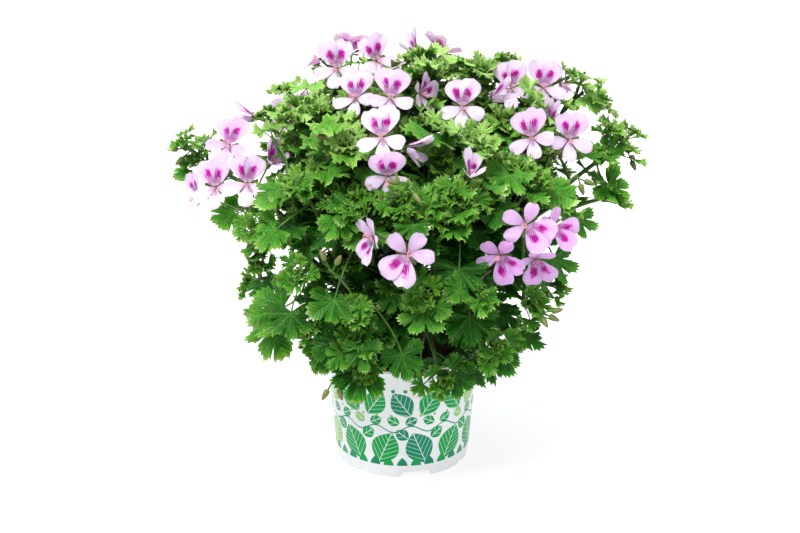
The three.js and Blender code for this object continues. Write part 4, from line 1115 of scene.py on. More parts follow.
def add_tuft(number, tip, axis, place, scale, shy=True):
    """Leaves round a tip. A shy tuft leaves out what would hide a flower."""
    side = axis.cross(Vector(SIDEWAYS)).normalized()
    spin = ANY_TURN * draw(place, 8, 1)
    for i in range(TUFT_LEAVES):
        share = i / (TUFT_LEAVES - 1)
        site = place + i
        away = Matrix.Rotation(spin + GOLDEN_TURN * i, 3, axis) @ side
        lift = math.radians(mix(*TUFT_LIFT, share**0.8) + LIFT_SPREAD * spread(site, 8, 2))
        way = away * math.cos(lift) + axis * math.sin(lift)
        size = scale * mix(*TUFT_SIZE, share) * (1 + SIZE_SPREAD * spread(site, 8, 3))
        far = scale * mix(*TUFT_REACH, share) * (1 + REACH_SPREAD * spread(site, 8, 9))
        at = tip + way * far - axis * (1.2 * share)
        face = axis * math.cos(lift) - away * math.sin(lift) + UP * 0.25
        lean, nod = LEAN_SPREAD * spread(site, 8, 4), NOD_SPREAD * spread(site, 8, 5)
        face = face + away.cross(axis) * lean + way * nod
        if at.z < LOWEST_LEAF or shy and hides_flower(at, size * 0.6):
            continue
        root = tip - axis * (2 + 5 * share)
        phase = ANY_TURN * draw(site, 8, 6)
        lay_leaf(number, root, at, way - UP * (0.3 * share), face, size, phase, 0.02 + 0.3 * share, site)


def outward(point):
    """The way out of the bush."""
    return (point - CROWN_CENTRE + UP * 10).normalized()


def axis_at(curve, ahead, out, rise):
    """The way a tuft points at the end of a curve, from three shares."""
    return (heading(curve, 1) * ahead + outward(curve[2]) * out + UP * rise).normalized()


place = 40000
TIPS = []
for number, curves in enumerate(SHOOTS):
    for curve in curves:
        tip = curve[2]
        scale = 1 if share_out(tip) < SPARSE_FROM or tip.x > 0 else SPARSE_SCALE
        add_tuft(number, tip, axis_at(curve, 0.5, 0.5, 0.35), place, scale)
        TIPS.append(tip)
        place += 20
print("tufts at the tips of the solids", len(TIPS))

# %% [markdown]
# ## Side shoots and more tufts
#
# Each shoot of the solids carries side shoots with tufts of their own, so the outside of the bush is lumps
# with gaps between them. Leaves strewn evenly over the mound would look like a clipped hedge. A second,
# sparser set stands a little deeper, on a spiral that spaces its places evenly, and closes what would be
# holes. A place too near another tip, or before a flower, is left out. Low down there are few.

# %% Side shoots
SIDE_SHOOTS, SIDE_PLACES, SIDE_REACH = 5, (0.5, 0.95), (17, 27)
SIDE_SCALES, FILL_SCALES = (0.8, 1.1), (0.85, 1.15)
FILL_PLACES, FILL_DEPTH, FILL_STALK = 230, (0.86, 0.1), 16
TIP_SPACING, FILL_SPACING = 13, 17
FEW_FROM, FEW_BELOW, FEWEST = 120, 195, 0.12
EXTRA_ROD, EXTRA_RISE, EXTRA_TINT = ((1.3, 1.1, 0.9), 6, 6), 0.1, 0.15
# Each row: where a leaf leaves a side shoot, its stalk, its size and its age
EXTRA_LEAVES = ((0.45, 19, 17, 0.8), (0.78, 12, 13.5, 0.5))
WIDEST, WIDEST_TIP = 160, 1.02


def add_shoot(number, root, tip, place, scale, shy=True):
    curve = rising_curve(root, tip, EXTRA_RISE)
    STALKS[number].add(*rod(curve, *EXTRA_ROD), EXTRA_TINT)
    for i, (t, stalk, size, age_and_shade) in enumerate(EXTRA_LEAVES):
        site = place + 12 + i
        base, at, way, face, size = rule_leaf(curve, t, stalk, size * scale, site, 0)
        if at.z > LOWEST_LEAF and math.hypot(at.x, at.y) < WIDEST and not hides_flower(at, size):
            lay_leaf(number, base, at, way, face, size, ANY_TURN * draw(site, 8, 7), age_and_shade, site)
    add_tuft(number, tip, axis_at(curve, 0.35, 0.6, 0.3), place, scale, shy)


def is_free(tip, spacing, place):
    """True if a tuft may stand here. The share of places that are used drops below the middle."""
    kept = min(1, max(FEWEST, (tip.z - FEW_FROM) / (FEW_BELOW - FEW_FROM)))
    if tip.z < LOWEST_LEAF + 6 or draw(place, 9, 4) > kept or hides_flower(tip, 12):
        return False
    return min((tip - other).length for other in TIPS) > spacing


for i, tuft in enumerate(CHOSEN_TUFTS):
    number, tip = NUMBER[tuft["stem"]], Vector(tuft["tip"])
    TIPS.append(tip)
    root = root_for(number, tip, BUD_RUN, UP)
    add_shoot(number, root, tip, 45000 + 20 * i, tuft["scale"], tuft.get("shy", True))
for number, curves in enumerate(SHOOTS):
    for shoot, curve in enumerate(curves):
        for i in range(SIDE_SHOOTS):
            place = 50000 + 400 * number + 120 * shoot + 20 * i
            t = mix(*SIDE_PLACES, i / (SIDE_SHOOTS - 1))
            root, way = along(curve, t), heading(curve, t)
            side = Matrix.Rotation(GOLDEN_TURN * i + place, 3, way) @ way.cross(Vector(SIDEWAYS)).normalized()
            way = (side * 0.9 + way * 0.55 + outward(root) * 0.4).normalized()
            tip = root + way * mix(*SIDE_REACH, draw(place, 9, 1))
            if share_out(tip) < WIDEST_TIP and is_free(tip, TIP_SPACING, place):
                TIPS.append(tip)
                add_shoot(number, root, tip, place, mix(*SIDE_SCALES, draw(place, 9, 3)))
print("tufts with side shoots", len(TIPS))
for i in range(FILL_PLACES):
    place = 70000 + 20 * i
    share = (i + 0.5) / FILL_PLACES
    depth = FILL_DEPTH[0] + FILL_DEPTH[1] * spread(place, 9, 1)
    tip = mound_point(1 - share**0.9, GOLDEN_TURN * i + 0.2 * spread(place, 9, 2), depth)
    if is_free(tip, FILL_SPACING, place):
        TIPS.append(tip)
        number, root = nearest_shoot(tip, FILL_STALK)
        add_shoot(number, root, tip, place, mix(*FILL_SCALES, draw(place, 9, 3)))
print("tufts in all", len(TIPS))

# %% [markdown]
# ## Large leaves inside
#
# Below the tufts the bush is full of older leaves, large, flat and dark, that face up and out on long
# stalks. Their darkness is partly their age and partly painted shade for their depth in the bush. A dark ball
# inside would close the bush as well, but it would show as a smooth thing between the leaves, and no such
# thing is in a real plant. So leaves alone close it, and between them it stays dark.

# %% Inner leaves
INNER_PLACES, INNER_DEPTH, INNER_SIZE, INNER_AGE = 360, (0.35, 0.88), (17, 25), (0.8, 1)
INNER_LOW, INNER_STALK, INNER_DROOP = 0.56, 26, (0.9, 0.35)
for i in range(INNER_PLACES):
    place = 60000 + 20 * i
    share = (i + 0.5) / INNER_PLACES
    depth = mix(*INNER_DEPTH, draw(place, 10, 1) ** 0.7)
    at = mound_point(1 - share**0.8, GOLDEN_TURN * i + 0.3 * spread(place, 10, 2), depth)
    size = mix(*INNER_SIZE, draw(place, 10, 3))
    is_low = at.z < FEW_BELOW and depth > INNER_LOW
    if at.z < LOWEST_LEAF + 4 or is_low or hides_flower(at, size * 0.5):
        continue
    number, root = nearest_shoot(at, INNER_STALK)
    out = outward(at)
    tip = (out + (at - root).normalized() * 0.5 - UP * mix(*INNER_DROOP, at.z / 300)).normalized()
    face = out * 0.75 + UP * 0.75 + Vector([0.3 * spread(place, 10, 5 + k) for k in range(3)])
    age_and_shade = mix(*INNER_AGE, draw(place, 10, 9))
    lay_leaf(number, root, at, tip, face, size, ANY_TURN * draw(place, 10, 4), age_and_shade, place)
print("leaf corners", sum(leaves.count for leaves in LEAVES))

# %% [markdown]
# ## Colours by nodes
#
# Each material is a small net of nodes that Blender works out at every point. Each node could be written
# out and linked by hand, but a leaf alone has more than eighty. So a helper puts a node in and links it, and
# a sum reads like a sum. A value that is the same all over is set on the shader itself.

# %% Node helper
class Net:
    def __init__(self, name, roughness):
        self.material = bpy.data.materials.new(name)
        self.material.use_nodes = True
        self.tree = self.material.node_tree
        self.shader = self.tree.nodes["Principled BSDF"]
        self.shader.inputs["Roughness"].default_value = roughness

    def put(self, socket, value):
        if isinstance(value, bpy.types.NodeSocket):
            self.tree.links.new(value, socket)
        else:
            socket.default_value = value

    def add(self, kind, output=0, settings=(), **inputs):
        node = self.tree.nodes.new(kind)
        for title, value in settings:
            setattr(node, title, value)
        for title, value in inputs.items():
            self.put(node.inputs[title.replace("_", " ")], value)
        return node.outputs[output]

    def math(self, operation, one, two=0.0, three=0.0):
        node = self.tree.nodes.new("ShaderNodeMath")
        node.operation = operation
        for socket, value in zip(node.inputs, (one, two, three)):
            self.put(socket, value)
        return node.outputs[0]

    def plus(self, one, two):
        return self.math("ADD", one, two)

    def minus(self, one, two):
        return self.math("SUBTRACT", one, two)

    def times(self, one, two):
        return self.math("MULTIPLY", one, two)

    def over(self, one, two):
        return self.math("DIVIDE", one, two)

    def rest(self, value):
        return self.math("SUBTRACT", 1, value)

    def size(self, value):
        return self.math("ABSOLUTE", value)

    def part(self, value):
        return self.math("FRACT", value)

    def reach(self, x, y):
        return self.math("SQRT", self.plus(self.times(x, x), self.times(y, y)))

    def step(self, value, low, high):
        """0 below `low`, 1 above `high`, smooth between."""
        return self.add("ShaderNodeMapRange", settings=[("interpolation_type", "SMOOTHSTEP")], Value=value,
                        From_Min=low, From_Max=high)

    def fade(self, value, low, high):
        """1 below `low`, 0 above `high`, smooth between."""
        return self.rest(self.step(value, low, high))

    def mix(self, share, one, two):
        node = self.tree.nodes.new("ShaderNodeMix")
        node.data_type = "RGBA"
        for socket, value in zip((node.inputs[0], node.inputs[6], node.inputs[7]), (share, one, two)):
            self.put(socket, value)
        return node.outputs[2]

    def attribute(self, name):
        return self.add("ShaderNodeAttribute", output=2, settings=[("attribute_name", name)])

    def place(self, kind="Object"):
        return self.add("ShaderNodeTexCoord", output=kind)

    def split(self, vector):
        node = self.tree.nodes.new("ShaderNodeSeparateXYZ")
        self.put(node.inputs[0], vector)
        return node.outputs

    def noise(self, scale, detail=2, vector=None):
        return self.add("ShaderNodeTexNoise", Vector=vector or self.place(), Scale=scale, Detail=detail)

    def bump(self, height, distance):
        self.put(self.shader.inputs["Normal"], self.add("ShaderNodeBump", Height=height, Distance=distance))

    def all_over(self, **values):
        for title, value in values.items():
            self.shader.inputs[title.replace("_", " ")].default_value = value

    def finish(self, colour):
        self.put(self.shader.inputs["Base Color"], colour)
        return self.material


print("net helper is ready")

# %% [markdown]
# ## Leaf and stem colours
#
# A young leaf is a bright yellow-green and an old one a deep green. The veins are paler and fan out from the
# heart, two pairs and one in the middle, and the blade is puckered between them, with painted shade in the
# creases. The underside is paler. The rim is paler too, partly as a leaf's own margin and partly as a painted
# highlight, and a young blade is painted lighter towards its rim than in its cupped middle. Leaves deep and
# low in the bush get painted shade, down to near black, and those at its top painted light. A photograph of
# a leaf could be laid on, but it would hold the light of its own day. So all is worked out on the leaf's own
# flat map, and bends with the leaf.

# %% Foliage
SPRING_GREEN = (0.115, 0.285, 0.03, 1)
YOUNG_GREEN = (0.22, 0.43, 0.07, 1)
FRESH_GREEN = (0.055, 0.205, 0.017, 1)
OLD_GREEN = (0.014, 0.082, 0.008, 1)
UNDER_GREEN = (0.075, 0.17, 0.04, 1)
# Pale rim green: partly the leaf's own pale margin, partly a painted highlight
RIM_AND_HIGHLIGHT_GREEN = (0.38, 0.55, 0.2, 1)
# Near-black painted shade for leaves deep and low in the bush
PAINTED_SHADE_GREEN = (0.005, 0.024, 0.004, 1)
VEIN_GREEN = (0.13, 0.28, 0.05, 1)
# Palest green: painted light at the top of the bush, and a little on the youngest leaves
PALE_AND_LIT_GREEN = (0.3, 0.5, 0.14, 1)
STEM_GREEN, STEM_PALE, STEM_BROWN = (0.045, 0.12, 0.018, 1), (0.1, 0.2, 0.045, 1), (0.09, 0.06, 0.03, 1)
BUD_GREEN, BUD_BROWN = (0.11, 0.15, 0.035, 1), (0.22, 0.1, 0.07, 1)
# The values of age and painted shade between which each change of colour takes place. The first range is
# reached mostly through painted light at the top of the bush, and the last one through painted shade deep and
# low in it.
PALE_AND_LIT_UNTIL, FRESH_BY, OLD_BY, PAINTED_SHADE_BY = (-0.5, 0.15), (0.0, 0.42), (0.35, 1.0), (0.95, 1.8)
PLAIN_UNDER_BY, RIM_GONE_BY = (0.6, 1.2), (0.45, 1.3)
VEIN_ANGLES, VEIN_WIDTH, VEIN_END = (0, 43, 97), (0.012, 0.05), (0.55, 1)
TWIGS, TWIG_SLANT, TWIG_WIDTH = 7, 9, (0.0, 0.22)
# The outer part of a young blade is painted lighter than its cupped middle, as if lit, and the rim band is
# partly pale margin and partly a painted highlight
LIT_OUTER_BAND, RIM_HIGHLIGHT_BAND = (0.4, 1.0), (0.84, 1.0)
# How strongly each mark shows
VEIN_SHARE, TWIG_SHARE, CREASE_SHADE_SHARE, PATCH_SHARE = 0.26, 0.07, 0.35, 0.22
LIT_OUTER_SHARE, RIM_HIGHLIGHT_SHARE, UNDER_SHARE = 0.9, 0.85, 0.5


def leaf_material():
    net = Net("leaf", 0.45)
    age_and_shade, side = net.attribute("tint"), net.attribute("side")
    u, v, _ = net.split(net.place("UV"))
    x, y = net.minus(u, 0.5), net.minus(v, 0.5)
    far = net.times(2, net.reach(x, y))
    turn = net.math("ARCTAN2", net.size(y), x)
    gap = FAR_AWAY
    for degrees in VEIN_ANGLES:
        gap = net.math("MINIMUM", gap, net.size(net.minus(turn, math.radians(degrees))))
    width = net.times(gap, far)
    veins = net.times(net.fade(width, *VEIN_WIDTH), net.fade(far, *VEIN_END))
    twig = net.part(net.minus(net.times(far, TWIGS), net.times(width, TWIG_SLANT)))
    twigs = net.fade(net.size(net.minus(twig, 0.5)), *TWIG_WIDTH)
    pucker = net.noise(230, 2)
    young = net.math("MAXIMUM", 0, net.rest(age_and_shade))
    green = net.mix(net.step(age_and_shade, *FRESH_BY), SPRING_GREEN, FRESH_GREEN)
    green = net.mix(net.step(age_and_shade, *OLD_BY), green, OLD_GREEN)
    green = net.mix(net.times(PATCH_SHARE, net.step(net.noise(90, 1), 0.35, 0.75)), green, FRESH_GREEN)
    # Painted shade in the creases of the pucker
    green = net.mix(net.times(net.fade(pucker, 0.38, 0.58), CREASE_SHADE_SHARE), green, OLD_GREEN)
    # Painted light on the outer part of a young blade, with its cupped middle left darker
    green = net.mix(net.times(net.step(far, *LIT_OUTER_BAND), net.times(young, LIT_OUTER_SHARE)), green, YOUNG_GREEN)
    # Painted light at the top of the bush, paler still
    green = net.mix(net.step(age_and_shade, *PALE_AND_LIT_UNTIL), PALE_AND_LIT_GREEN, green)
    green = net.mix(net.times(veins, VEIN_SHARE), green, VEIN_GREEN)
    green = net.mix(net.times(twigs, TWIG_SHARE), green, VEIN_GREEN)
    under = net.times(net.step(side, 0.6, 0.9), UNDER_SHARE)
    green = net.mix(net.times(under, net.fade(age_and_shade, *PLAIN_UNDER_BY)), green, UNDER_GREEN)
    # A pale rim, partly the leaf's own margin and partly a painted highlight
    rim = net.times(net.step(far, *RIM_HIGHLIGHT_BAND), net.fade(age_and_shade, *RIM_GONE_BY))
    green = net.mix(net.times(rim, RIM_HIGHLIGHT_SHARE), green, RIM_AND_HIGHLIGHT_GREEN)
    # Painted shade, near black, deep in the bush and low down
    green = net.mix(net.step(age_and_shade, *PAINTED_SHADE_BY), green, PAINTED_SHADE_GREEN)
    relief = net.plus(net.times(pucker, 0.8), net.times(twigs, 0.35))
    net.bump(net.minus(relief, net.times(veins, 0.5)), 0.0011)
    net.all_over(Subsurface_Weight=0.3, Subsurface_Radius=(0.3, 1, 0.1), Subsurface_Scale=0.002)
    net.all_over(Specular_IOR_Level=0.17, Sheen_Weight=0.03, Sheen_Roughness=0.4)
    net.all_over(Sheen_Tint=(0.6, 0.9, 0.45, 1))
    return net.finish(green)


def stem_material():
    net = Net("stem", 0.5)
    tint = net.attribute("tint")
    green = net.mix(net.step(tint, 0.2, 0.75), STEM_GREEN, STEM_BROWN)
    bud = net.mix(net.step(tint, 0.1, 0.8), BUD_GREEN, BUD_BROWN)
    green = net.mix(net.step(net.noise(150, 3), 0.4, 0.75), green, STEM_PALE)
    green = net.mix(net.attribute("side"), green, bud)
    net.bump(net.noise(900, 2), 0.0003)
    net.all_over(Subsurface_Weight=0.08, Subsurface_Scale=0.002)
    return net.finish(green)


LEAF_LOOK, STEM_LOOK = leaf_material(), stem_material()
print("foliage materials", LEAF_LOOK.name, STEM_LOOK.name)

# %% [markdown]
# ## Petal colours
#
# The petals are a very pale pink, deeper towards their rim and near the throat, with faint veins. Each of
# the two upper ones has a magenta blotch near its middle, and dark purple lines run to it from the throat
# and fan out. The marks could be painted on one petal and used for all, but they would then be the same in
# each. So they are worked out from the petal's own map, how far across and ahead, with some noise.

# %% Petals
PALE_PINK = (0.78, 0.61, 0.81, 1)
DEEP_PINK = (0.58, 0.26, 0.64, 1)
THROAT_RED = (0.45, 0.08, 0.2, 1)
BLOTCH = (0.42, 0.0, 0.24, 1)
LINE_PURPLE = (0.1, 0.0, 0.06, 1)
STAMEN_PINK = (0.6, 0.3, 0.34, 1)
BLOTCH_AT, BLOTCH_WIDE, BLOTCH_LONG, BLOTCH_EDGE = 0.47, 0.36, 0.19, (0.75, 1.2)
BLUSH_EDGE, BLUSH_SHARE = (0.9, 2.4), 0.5
VEINS, RAYS, LINES = 6.5, 9, 3.6
LINE_WIDTH, LINES_START, LINES_END, LINES_SIDE = (0.18, 0.34), (0.1, 0.17), (0.44, 0.66), (0.26, 0.46)


def petal_material():
    net = Net("petal", 0.55)
    pink, kind = net.attribute("tint"), net.attribute("side")
    across, ahead, _ = net.split(net.place("UV"))
    upper = net.times(net.step(kind, 0.4, 0.6), net.fade(kind, 1.3, 1.5))
    wander = net.minus(net.noise(260, 2), 0.5)
    # Deeper pink, partly painted shade on the heads low in the bush
    colour = net.mix(net.times(pink, 0.75), PALE_PINK, DEEP_PINK)
    vein = net.part(net.plus(net.times(net.over(across, net.plus(ahead, 0.35)), VEINS), wander))
    vein = net.fade(net.size(net.minus(vein, 0.5)), 0.0, 0.24)
    colour = net.mix(net.times(vein, 0.2), colour, DEEP_PINK)
    border = net.math("MAXIMUM", net.step(net.size(across), 0.45, 1.0), net.step(ahead, 0.75, 1.0))
    border = net.times(border, net.times(net.step(net.noise(120, 1), 0.3, 0.7), 0.5))
    colour = net.mix(border, colour, DEEP_PINK)
    colour = net.mix(net.times(net.fade(ahead, 0.05, 0.3), 0.55), colour, THROAT_RED)
    spot_x = net.over(across, BLOTCH_WIDE)
    spot_y = net.over(net.minus(ahead, BLOTCH_AT), BLOTCH_LONG)
    spot = net.reach(spot_x, spot_y)
    rays = net.plus(net.times(net.over(across, net.plus(ahead, 0.2)), RAYS), wander)
    rays = net.size(net.minus(net.part(rays), 0.5))
    spot = net.plus(spot, net.plus(net.times(wander, 2.2), net.times(rays, 0.9)))
    blotch = net.times(upper, net.fade(spot, *BLOTCH_EDGE))
    blush = net.times(upper, net.fade(spot, *BLUSH_EDGE))
    colour = net.mix(net.times(blush, BLUSH_SHARE), colour, DEEP_PINK)
    colour = net.mix(blotch, colour, BLOTCH)
    fan = net.over(across, net.plus(ahead, 0.12))
    fan = net.plus(net.times(fan, LINES), net.times(wander, 0.9))
    line = net.fade(net.size(net.minus(net.part(net.plus(fan, 0.5)), 0.5)), *LINE_WIDTH)
    reach = net.times(net.step(ahead, *LINES_START), net.fade(ahead, *LINES_END))
    inside = net.fade(net.size(across), *LINES_SIDE)
    line = net.times(net.times(line, reach), net.times(inside, upper))
    colour = net.mix(line, colour, LINE_PURPLE)
    colour = net.mix(net.step(kind, 1.3, 1.5), colour, STAMEN_PINK)
    net.bump(net.plus(net.times(vein, 0.5), net.noise(700, 2)), 0.00012)
    net.all_over(Subsurface_Weight=0.6, Subsurface_Radius=(1, 0.5, 0.8), Subsurface_Scale=0.003)
    net.all_over(Specular_IOR_Level=0.25)
    return net.finish(colour)


PETAL_LOOK = petal_material()
for head_number, petals in enumerate(BLOOMS):
    nodes = [f"bloom_{head_number + 1}_{i + 1}" for i in range(len(HEADS[head_number]["flowers"]))]
    petals.make(f"petals_{head_number + 1}", PETAL_LOOK, "petal", nodes)
for stem, leaves, stalks in zip(STEMS, LEAVES, STALKS):
    leaves.make(f"leaves_{stem['name']}", LEAF_LOOK, "foliage", [f"stem_{stem['name']}"])
    stalks.make(f"stalks_{stem['name']}", STEM_LOOK, "foliage", [f"stem_{stem['name']}"])
print("pieces of the plant", len(BLOOMS) + 2 * len(STEMS))

# %% [markdown]
# ## The pot
#
# The real pot is one thin moulding, white and glossy, with a rolled lip and a raised floor. It is a lathe
# shape. A cylinder could be inset and bevelled until it looks like one, but its lip has seven steps. So half
# of its section is drawn and spun round the middle.

# %% Pot
FOOT_RADIUS, WALL_TOP_RADIUS, WALL = 51.2, 58.4, 1.5
LIP_BOTTOM, FLOOR_BOTTOM, FLOOR_TOP, FOOT_RING = 84.8, 5, 6.6, 1.8
POT_COLUMNS = 240


def wall_at(z):
    return mix(FOOT_RADIUS, WALL_TOP_RADIUS, z / LIP_BOTTOM)


# The section as (radius, height): the floor from below, the foot ring, the outside, the lip, the inside
SECTION = [
    (0, FLOOR_BOTTOM), (20, FLOOR_BOTTOM), (wall_at(5) - FOOT_RING - 1, FLOOR_BOTTOM),
    (wall_at(5) - FOOT_RING, FLOOR_BOTTOM - 0.3), (FOOT_RADIUS - FOOT_RING + 0.2, 0.2),
    (FOOT_RADIUS - FOOT_RING + 0.5, 0), (FOOT_RADIUS - 0.5, 0), (FOOT_RADIUS - 0.1, 0.3),
    (wall_at(5), 5), (wall_at(9.2), 9.2), (wall_at(9.8) + 0.15, 9.8), (wall_at(40), 40), (wall_at(74), 74),
    (wall_at(83.6), 83.6), (wall_at(84.6) + 0.25, 84.5),
    (RIM_RADIUS - 0.5, LIP_BOTTOM), (RIM_RADIUS - 0.1, 85.2), (RIM_RADIUS, 86), (RIM_RADIUS - 0.1, 87.2),
    (RIM_RADIUS - 0.5, 87.8), (RIM_RADIUS - 1.1, 88), (RIM_RADIUS - 1.9, 87.95),
    (wall_at(88) - WALL, 87.2), (wall_at(84) - WALL, 84), (wall_at(40) - WALL, 40), (wall_at(8) - WALL, 8),
    (wall_at(7) - WALL - 0.8, 6.8), (wall_at(7) - WALL - 1.6, FLOOR_TOP), (20, FLOOR_TOP), (0, FLOOR_TOP),
]


def spun(name, section, columns):
    """Spins a section, given as (radius, height), round the upright axis."""
    mesh = bpy.data.meshes.new(name)
    edges = [(i, i + 1) for i in range(len(section) - 1)]
    mesh.from_pydata([(radius, 0, z) for radius, z in section], edges, [])
    piece = bpy.data.objects.new(name, mesh)
    bpy.context.scene.collection.objects.link(piece)
    bpy.ops.object.select_all(action="DESELECT")
    piece.select_set(True)
    bpy.context.view_layer.objects.active = piece
    bpy.ops.object.mode_set(mode="EDIT")
    bpy.ops.mesh.select_all(action="SELECT")
    bpy.ops.mesh.spin(steps=columns, angle=2 * math.pi, center=(0, 0, 0), axis=(0, 0, 1))
    bpy.ops.mesh.select_all(action="SELECT")
    bpy.ops.mesh.remove_doubles(threshold=0.001)
    bpy.ops.mesh.normals_make_consistent(inside=False)
    bpy.ops.object.mode_set(mode="OBJECT")
    return piece


pot = spun("pot_shell", SECTION, POT_COLUMNS)
print("pot corners", len(pot.data.vertices))

# %% [markdown]
# ## Notches and drain holes
#
# The foot ring has three wide and six narrow notches that let the water out, and the floor has six drain
# holes. The notches could be cut with boxes, but the real ones have sloping ends, so the lowest corners of
# the wall are lifted. The holes are straight, and a cylinder drills each.

# %% Notches and drain holes
NOTCH_SLOPE = 1.4
# Each kind of notch: its width, its height, and its places in degrees
WIDE_NOTCHES = (22, 4.5, (12, 132, 252))
NARROW_NOTCHES = (5.5, 3, (60, 84, 180, 204, 300, 324))
NOTCH_FROM, LEFT_BELOW = 0.5, 0.3
DRAIN_HOLES, DRAIN_RADIUS, DRAIN_CIRCLE = 6, 4, 34
DRILL_SIDES, DRILL_LENGTH = 32, 12
SMOOTH_BELOW = math.radians(35)


def notch_height(turn):
    """How high the foot is lifted at an angle from the front."""
    lifted = 0
    for width, height, places in (WIDE_NOTCHES, NARROW_NOTCHES):
        for degrees in places:
            off = abs((turn - degrees + 180) % 360 - 180) * math.radians(1) * FOOT_RADIUS
            inside = (width / 2 + NOTCH_SLOPE / 2 - off) / NOTCH_SLOPE
            lifted = max(lifted, height * min(1, max(0, inside)))
    return lifted


for corner in pot.data.vertices:
    x, y, z = corner.co
    if z < NOTCH_FROM and math.hypot(x, y) > FOOT_RADIUS - 2 * FOOT_RING:
        corner.co.z = max(z, z * LEFT_BELOW + notch_height(math.degrees(math.atan2(x, -y))))
bpy.ops.object.select_all(action="DESELECT")
for i in range(DRAIN_HOLES):
    turn = 2 * math.pi * i / DRAIN_HOLES
    spot = (DRAIN_CIRCLE * math.cos(turn), DRAIN_CIRCLE * math.sin(turn), FLOOR_TOP)
    bpy.ops.mesh.primitive_cylinder_add(vertices=DRILL_SIDES, radius=DRAIN_RADIUS, depth=DRILL_LENGTH,
                                        location=spot)
    drill = bpy.context.object
    bpy.context.view_layer.objects.active = pot
    cut = pot.modifiers.new("drain", "BOOLEAN")
    cut.operation, cut.object = "DIFFERENCE", drill
    bpy.ops.object.modifier_apply(modifier=cut.name)
    bpy.data.objects.remove(drill)
pot.data.transform(Matrix.Scale(MM, 4))
bpy.ops.object.select_all(action="DESELECT")
pot.select_set(True)
bpy.context.view_layer.objects.active = pot
bpy.ops.object.shade_smooth_by_angle(angle=SMOOTH_BELOW)
print("pot faces", len(pot.data.polygons))

# %% [markdown]
# ## The print on the pot
#
# A band of leaves is printed on the wall, in greens on white. It could be a picture, but then it would be
# stretched and have a seam. So it is worked out from the angle round the pot and the height, and closes by
# itself. Each row is cells of one leaf each: a leaf is where the cell's two numbers fall inside two arcs.
# A thin wavy vine runs between the rows, and small dots stand above and below.

# %% Shapes of the print
POT_WHITE = (0.72, 0.735, 0.75, 1)
EMERALD = (0, 0.32, 0.075, 1)
TEAL = (0, 0.24, 0.13, 1)
LIGHT_GREEN = (0.27, 0.5, 0.16, 1)
MEAN_RADIUS = 54.5
BAND_LOW, BAND_HIGH = 9.7, 74
SOFT_EDGE = 0.15
RIB_WIDTH, RIB_PITCH, SIDE_RIB_WIDTH = (0.15, 0.38), 0.22, (0.02, 0.06)
# Each row of leaves: how many, its shift, the height of its middle, half a leaf's length and width, its tilt
PRINTED_LEAVES = ((13, 0.0, 24.5, 14, 10.8, 0.4), (17, 0.5, 60.5, 11.5, 8.2, 0.6),
                  (26, 0.0, 47, 5.2, 3.9, -1.1), (13, 0.5, 36, 6, 4.8, 0.9))
LIGHT_EVERY, TEAL_EVERY = 3, 5
VINE_WAVES, VINE_HEIGHT, VINE_SWING, VINE_WIDTH = 13, 40.5, 2.6, (0.35, 0.6)
LOW_LEAVES = (32, 0.5, 9.5), (7.4, 4.2)
# Each row of dots: how many, its height, a dot's radius and its colour
PRINTED_DOTS = ((40, 71.6, 1.5, EMERALD), (32, 51.5, 1.2, LIGHT_GREEN))
SKIN = 0.0006


class Print:
    """The place on the wall as a turn from 0 to 1 and a height, and the shapes printed there."""

    def __init__(self, net):
        self.net = net
        x, y, z = net.split(net.place())
        self.turn = net.over(net.math("ARCTAN2", x, net.times(y, -1)), 2 * math.pi)
        self.height = net.times(z, 1000)

    def cell(self, count, shift, middle):
        """Distances across and up from the middle of the cell, and the cell's number."""
        net = self.net
        run = net.plus(net.times(self.turn, count), shift)
        number = net.math("FLOOR", run)
        across = net.times(net.minus(net.part(run), 0.5), 2 * math.pi * MEAN_RADIUS / count)
        return across, net.minus(self.height, middle), number

    def first_of(self, number, count):
        """1 in the first of so many cells, and 0 in the others."""
        return self.net.math("LESS_THAN", self.net.math("FLOORED_MODULO", number, count), 0.5)

    def leaf(self, across, up, tilt, length, width):
        """Two masks of a leaf at a tilt: its blade, and the white rib and side ribs in it."""
        net = self.net
        cos, sin = net.math("COSINE", tilt), net.math("SINE", tilt)
        x = net.minus(net.times(across, cos), net.times(up, sin))
        y = net.plus(net.times(across, sin), net.times(up, cos))
        part = net.over(y, length)
        half = net.times(width, net.rest(net.times(part, part)))
        side = net.size(x)
        blade = net.step(net.minus(half, side), -0.05, SOFT_EDGE)
        rib = net.fade(side, *RIB_WIDTH)
        comb = net.part(net.times(net.minus(y, side), RIB_PITCH))
        comb = net.fade(net.size(net.minus(comb, 0.5)), *SIDE_RIB_WIDTH)
        return blade, net.math("MAXIMUM", rib, comb)


print("rows of the print", len(PRINTED_LEAVES), "leaves,", len(PRINTED_DOTS), "dots")

# %% [markdown]
# ## Ink on plastic
#
# The ink is as thin as paint and lies only on the outside of the wall. Leaves, vine and dots could be pieces
# of their own just over the wall, but then they would have edges. So they are colours of the one plastic,
# and the inside, the lip and the foot stay white. The plastic is a little glossy and lets some light in.

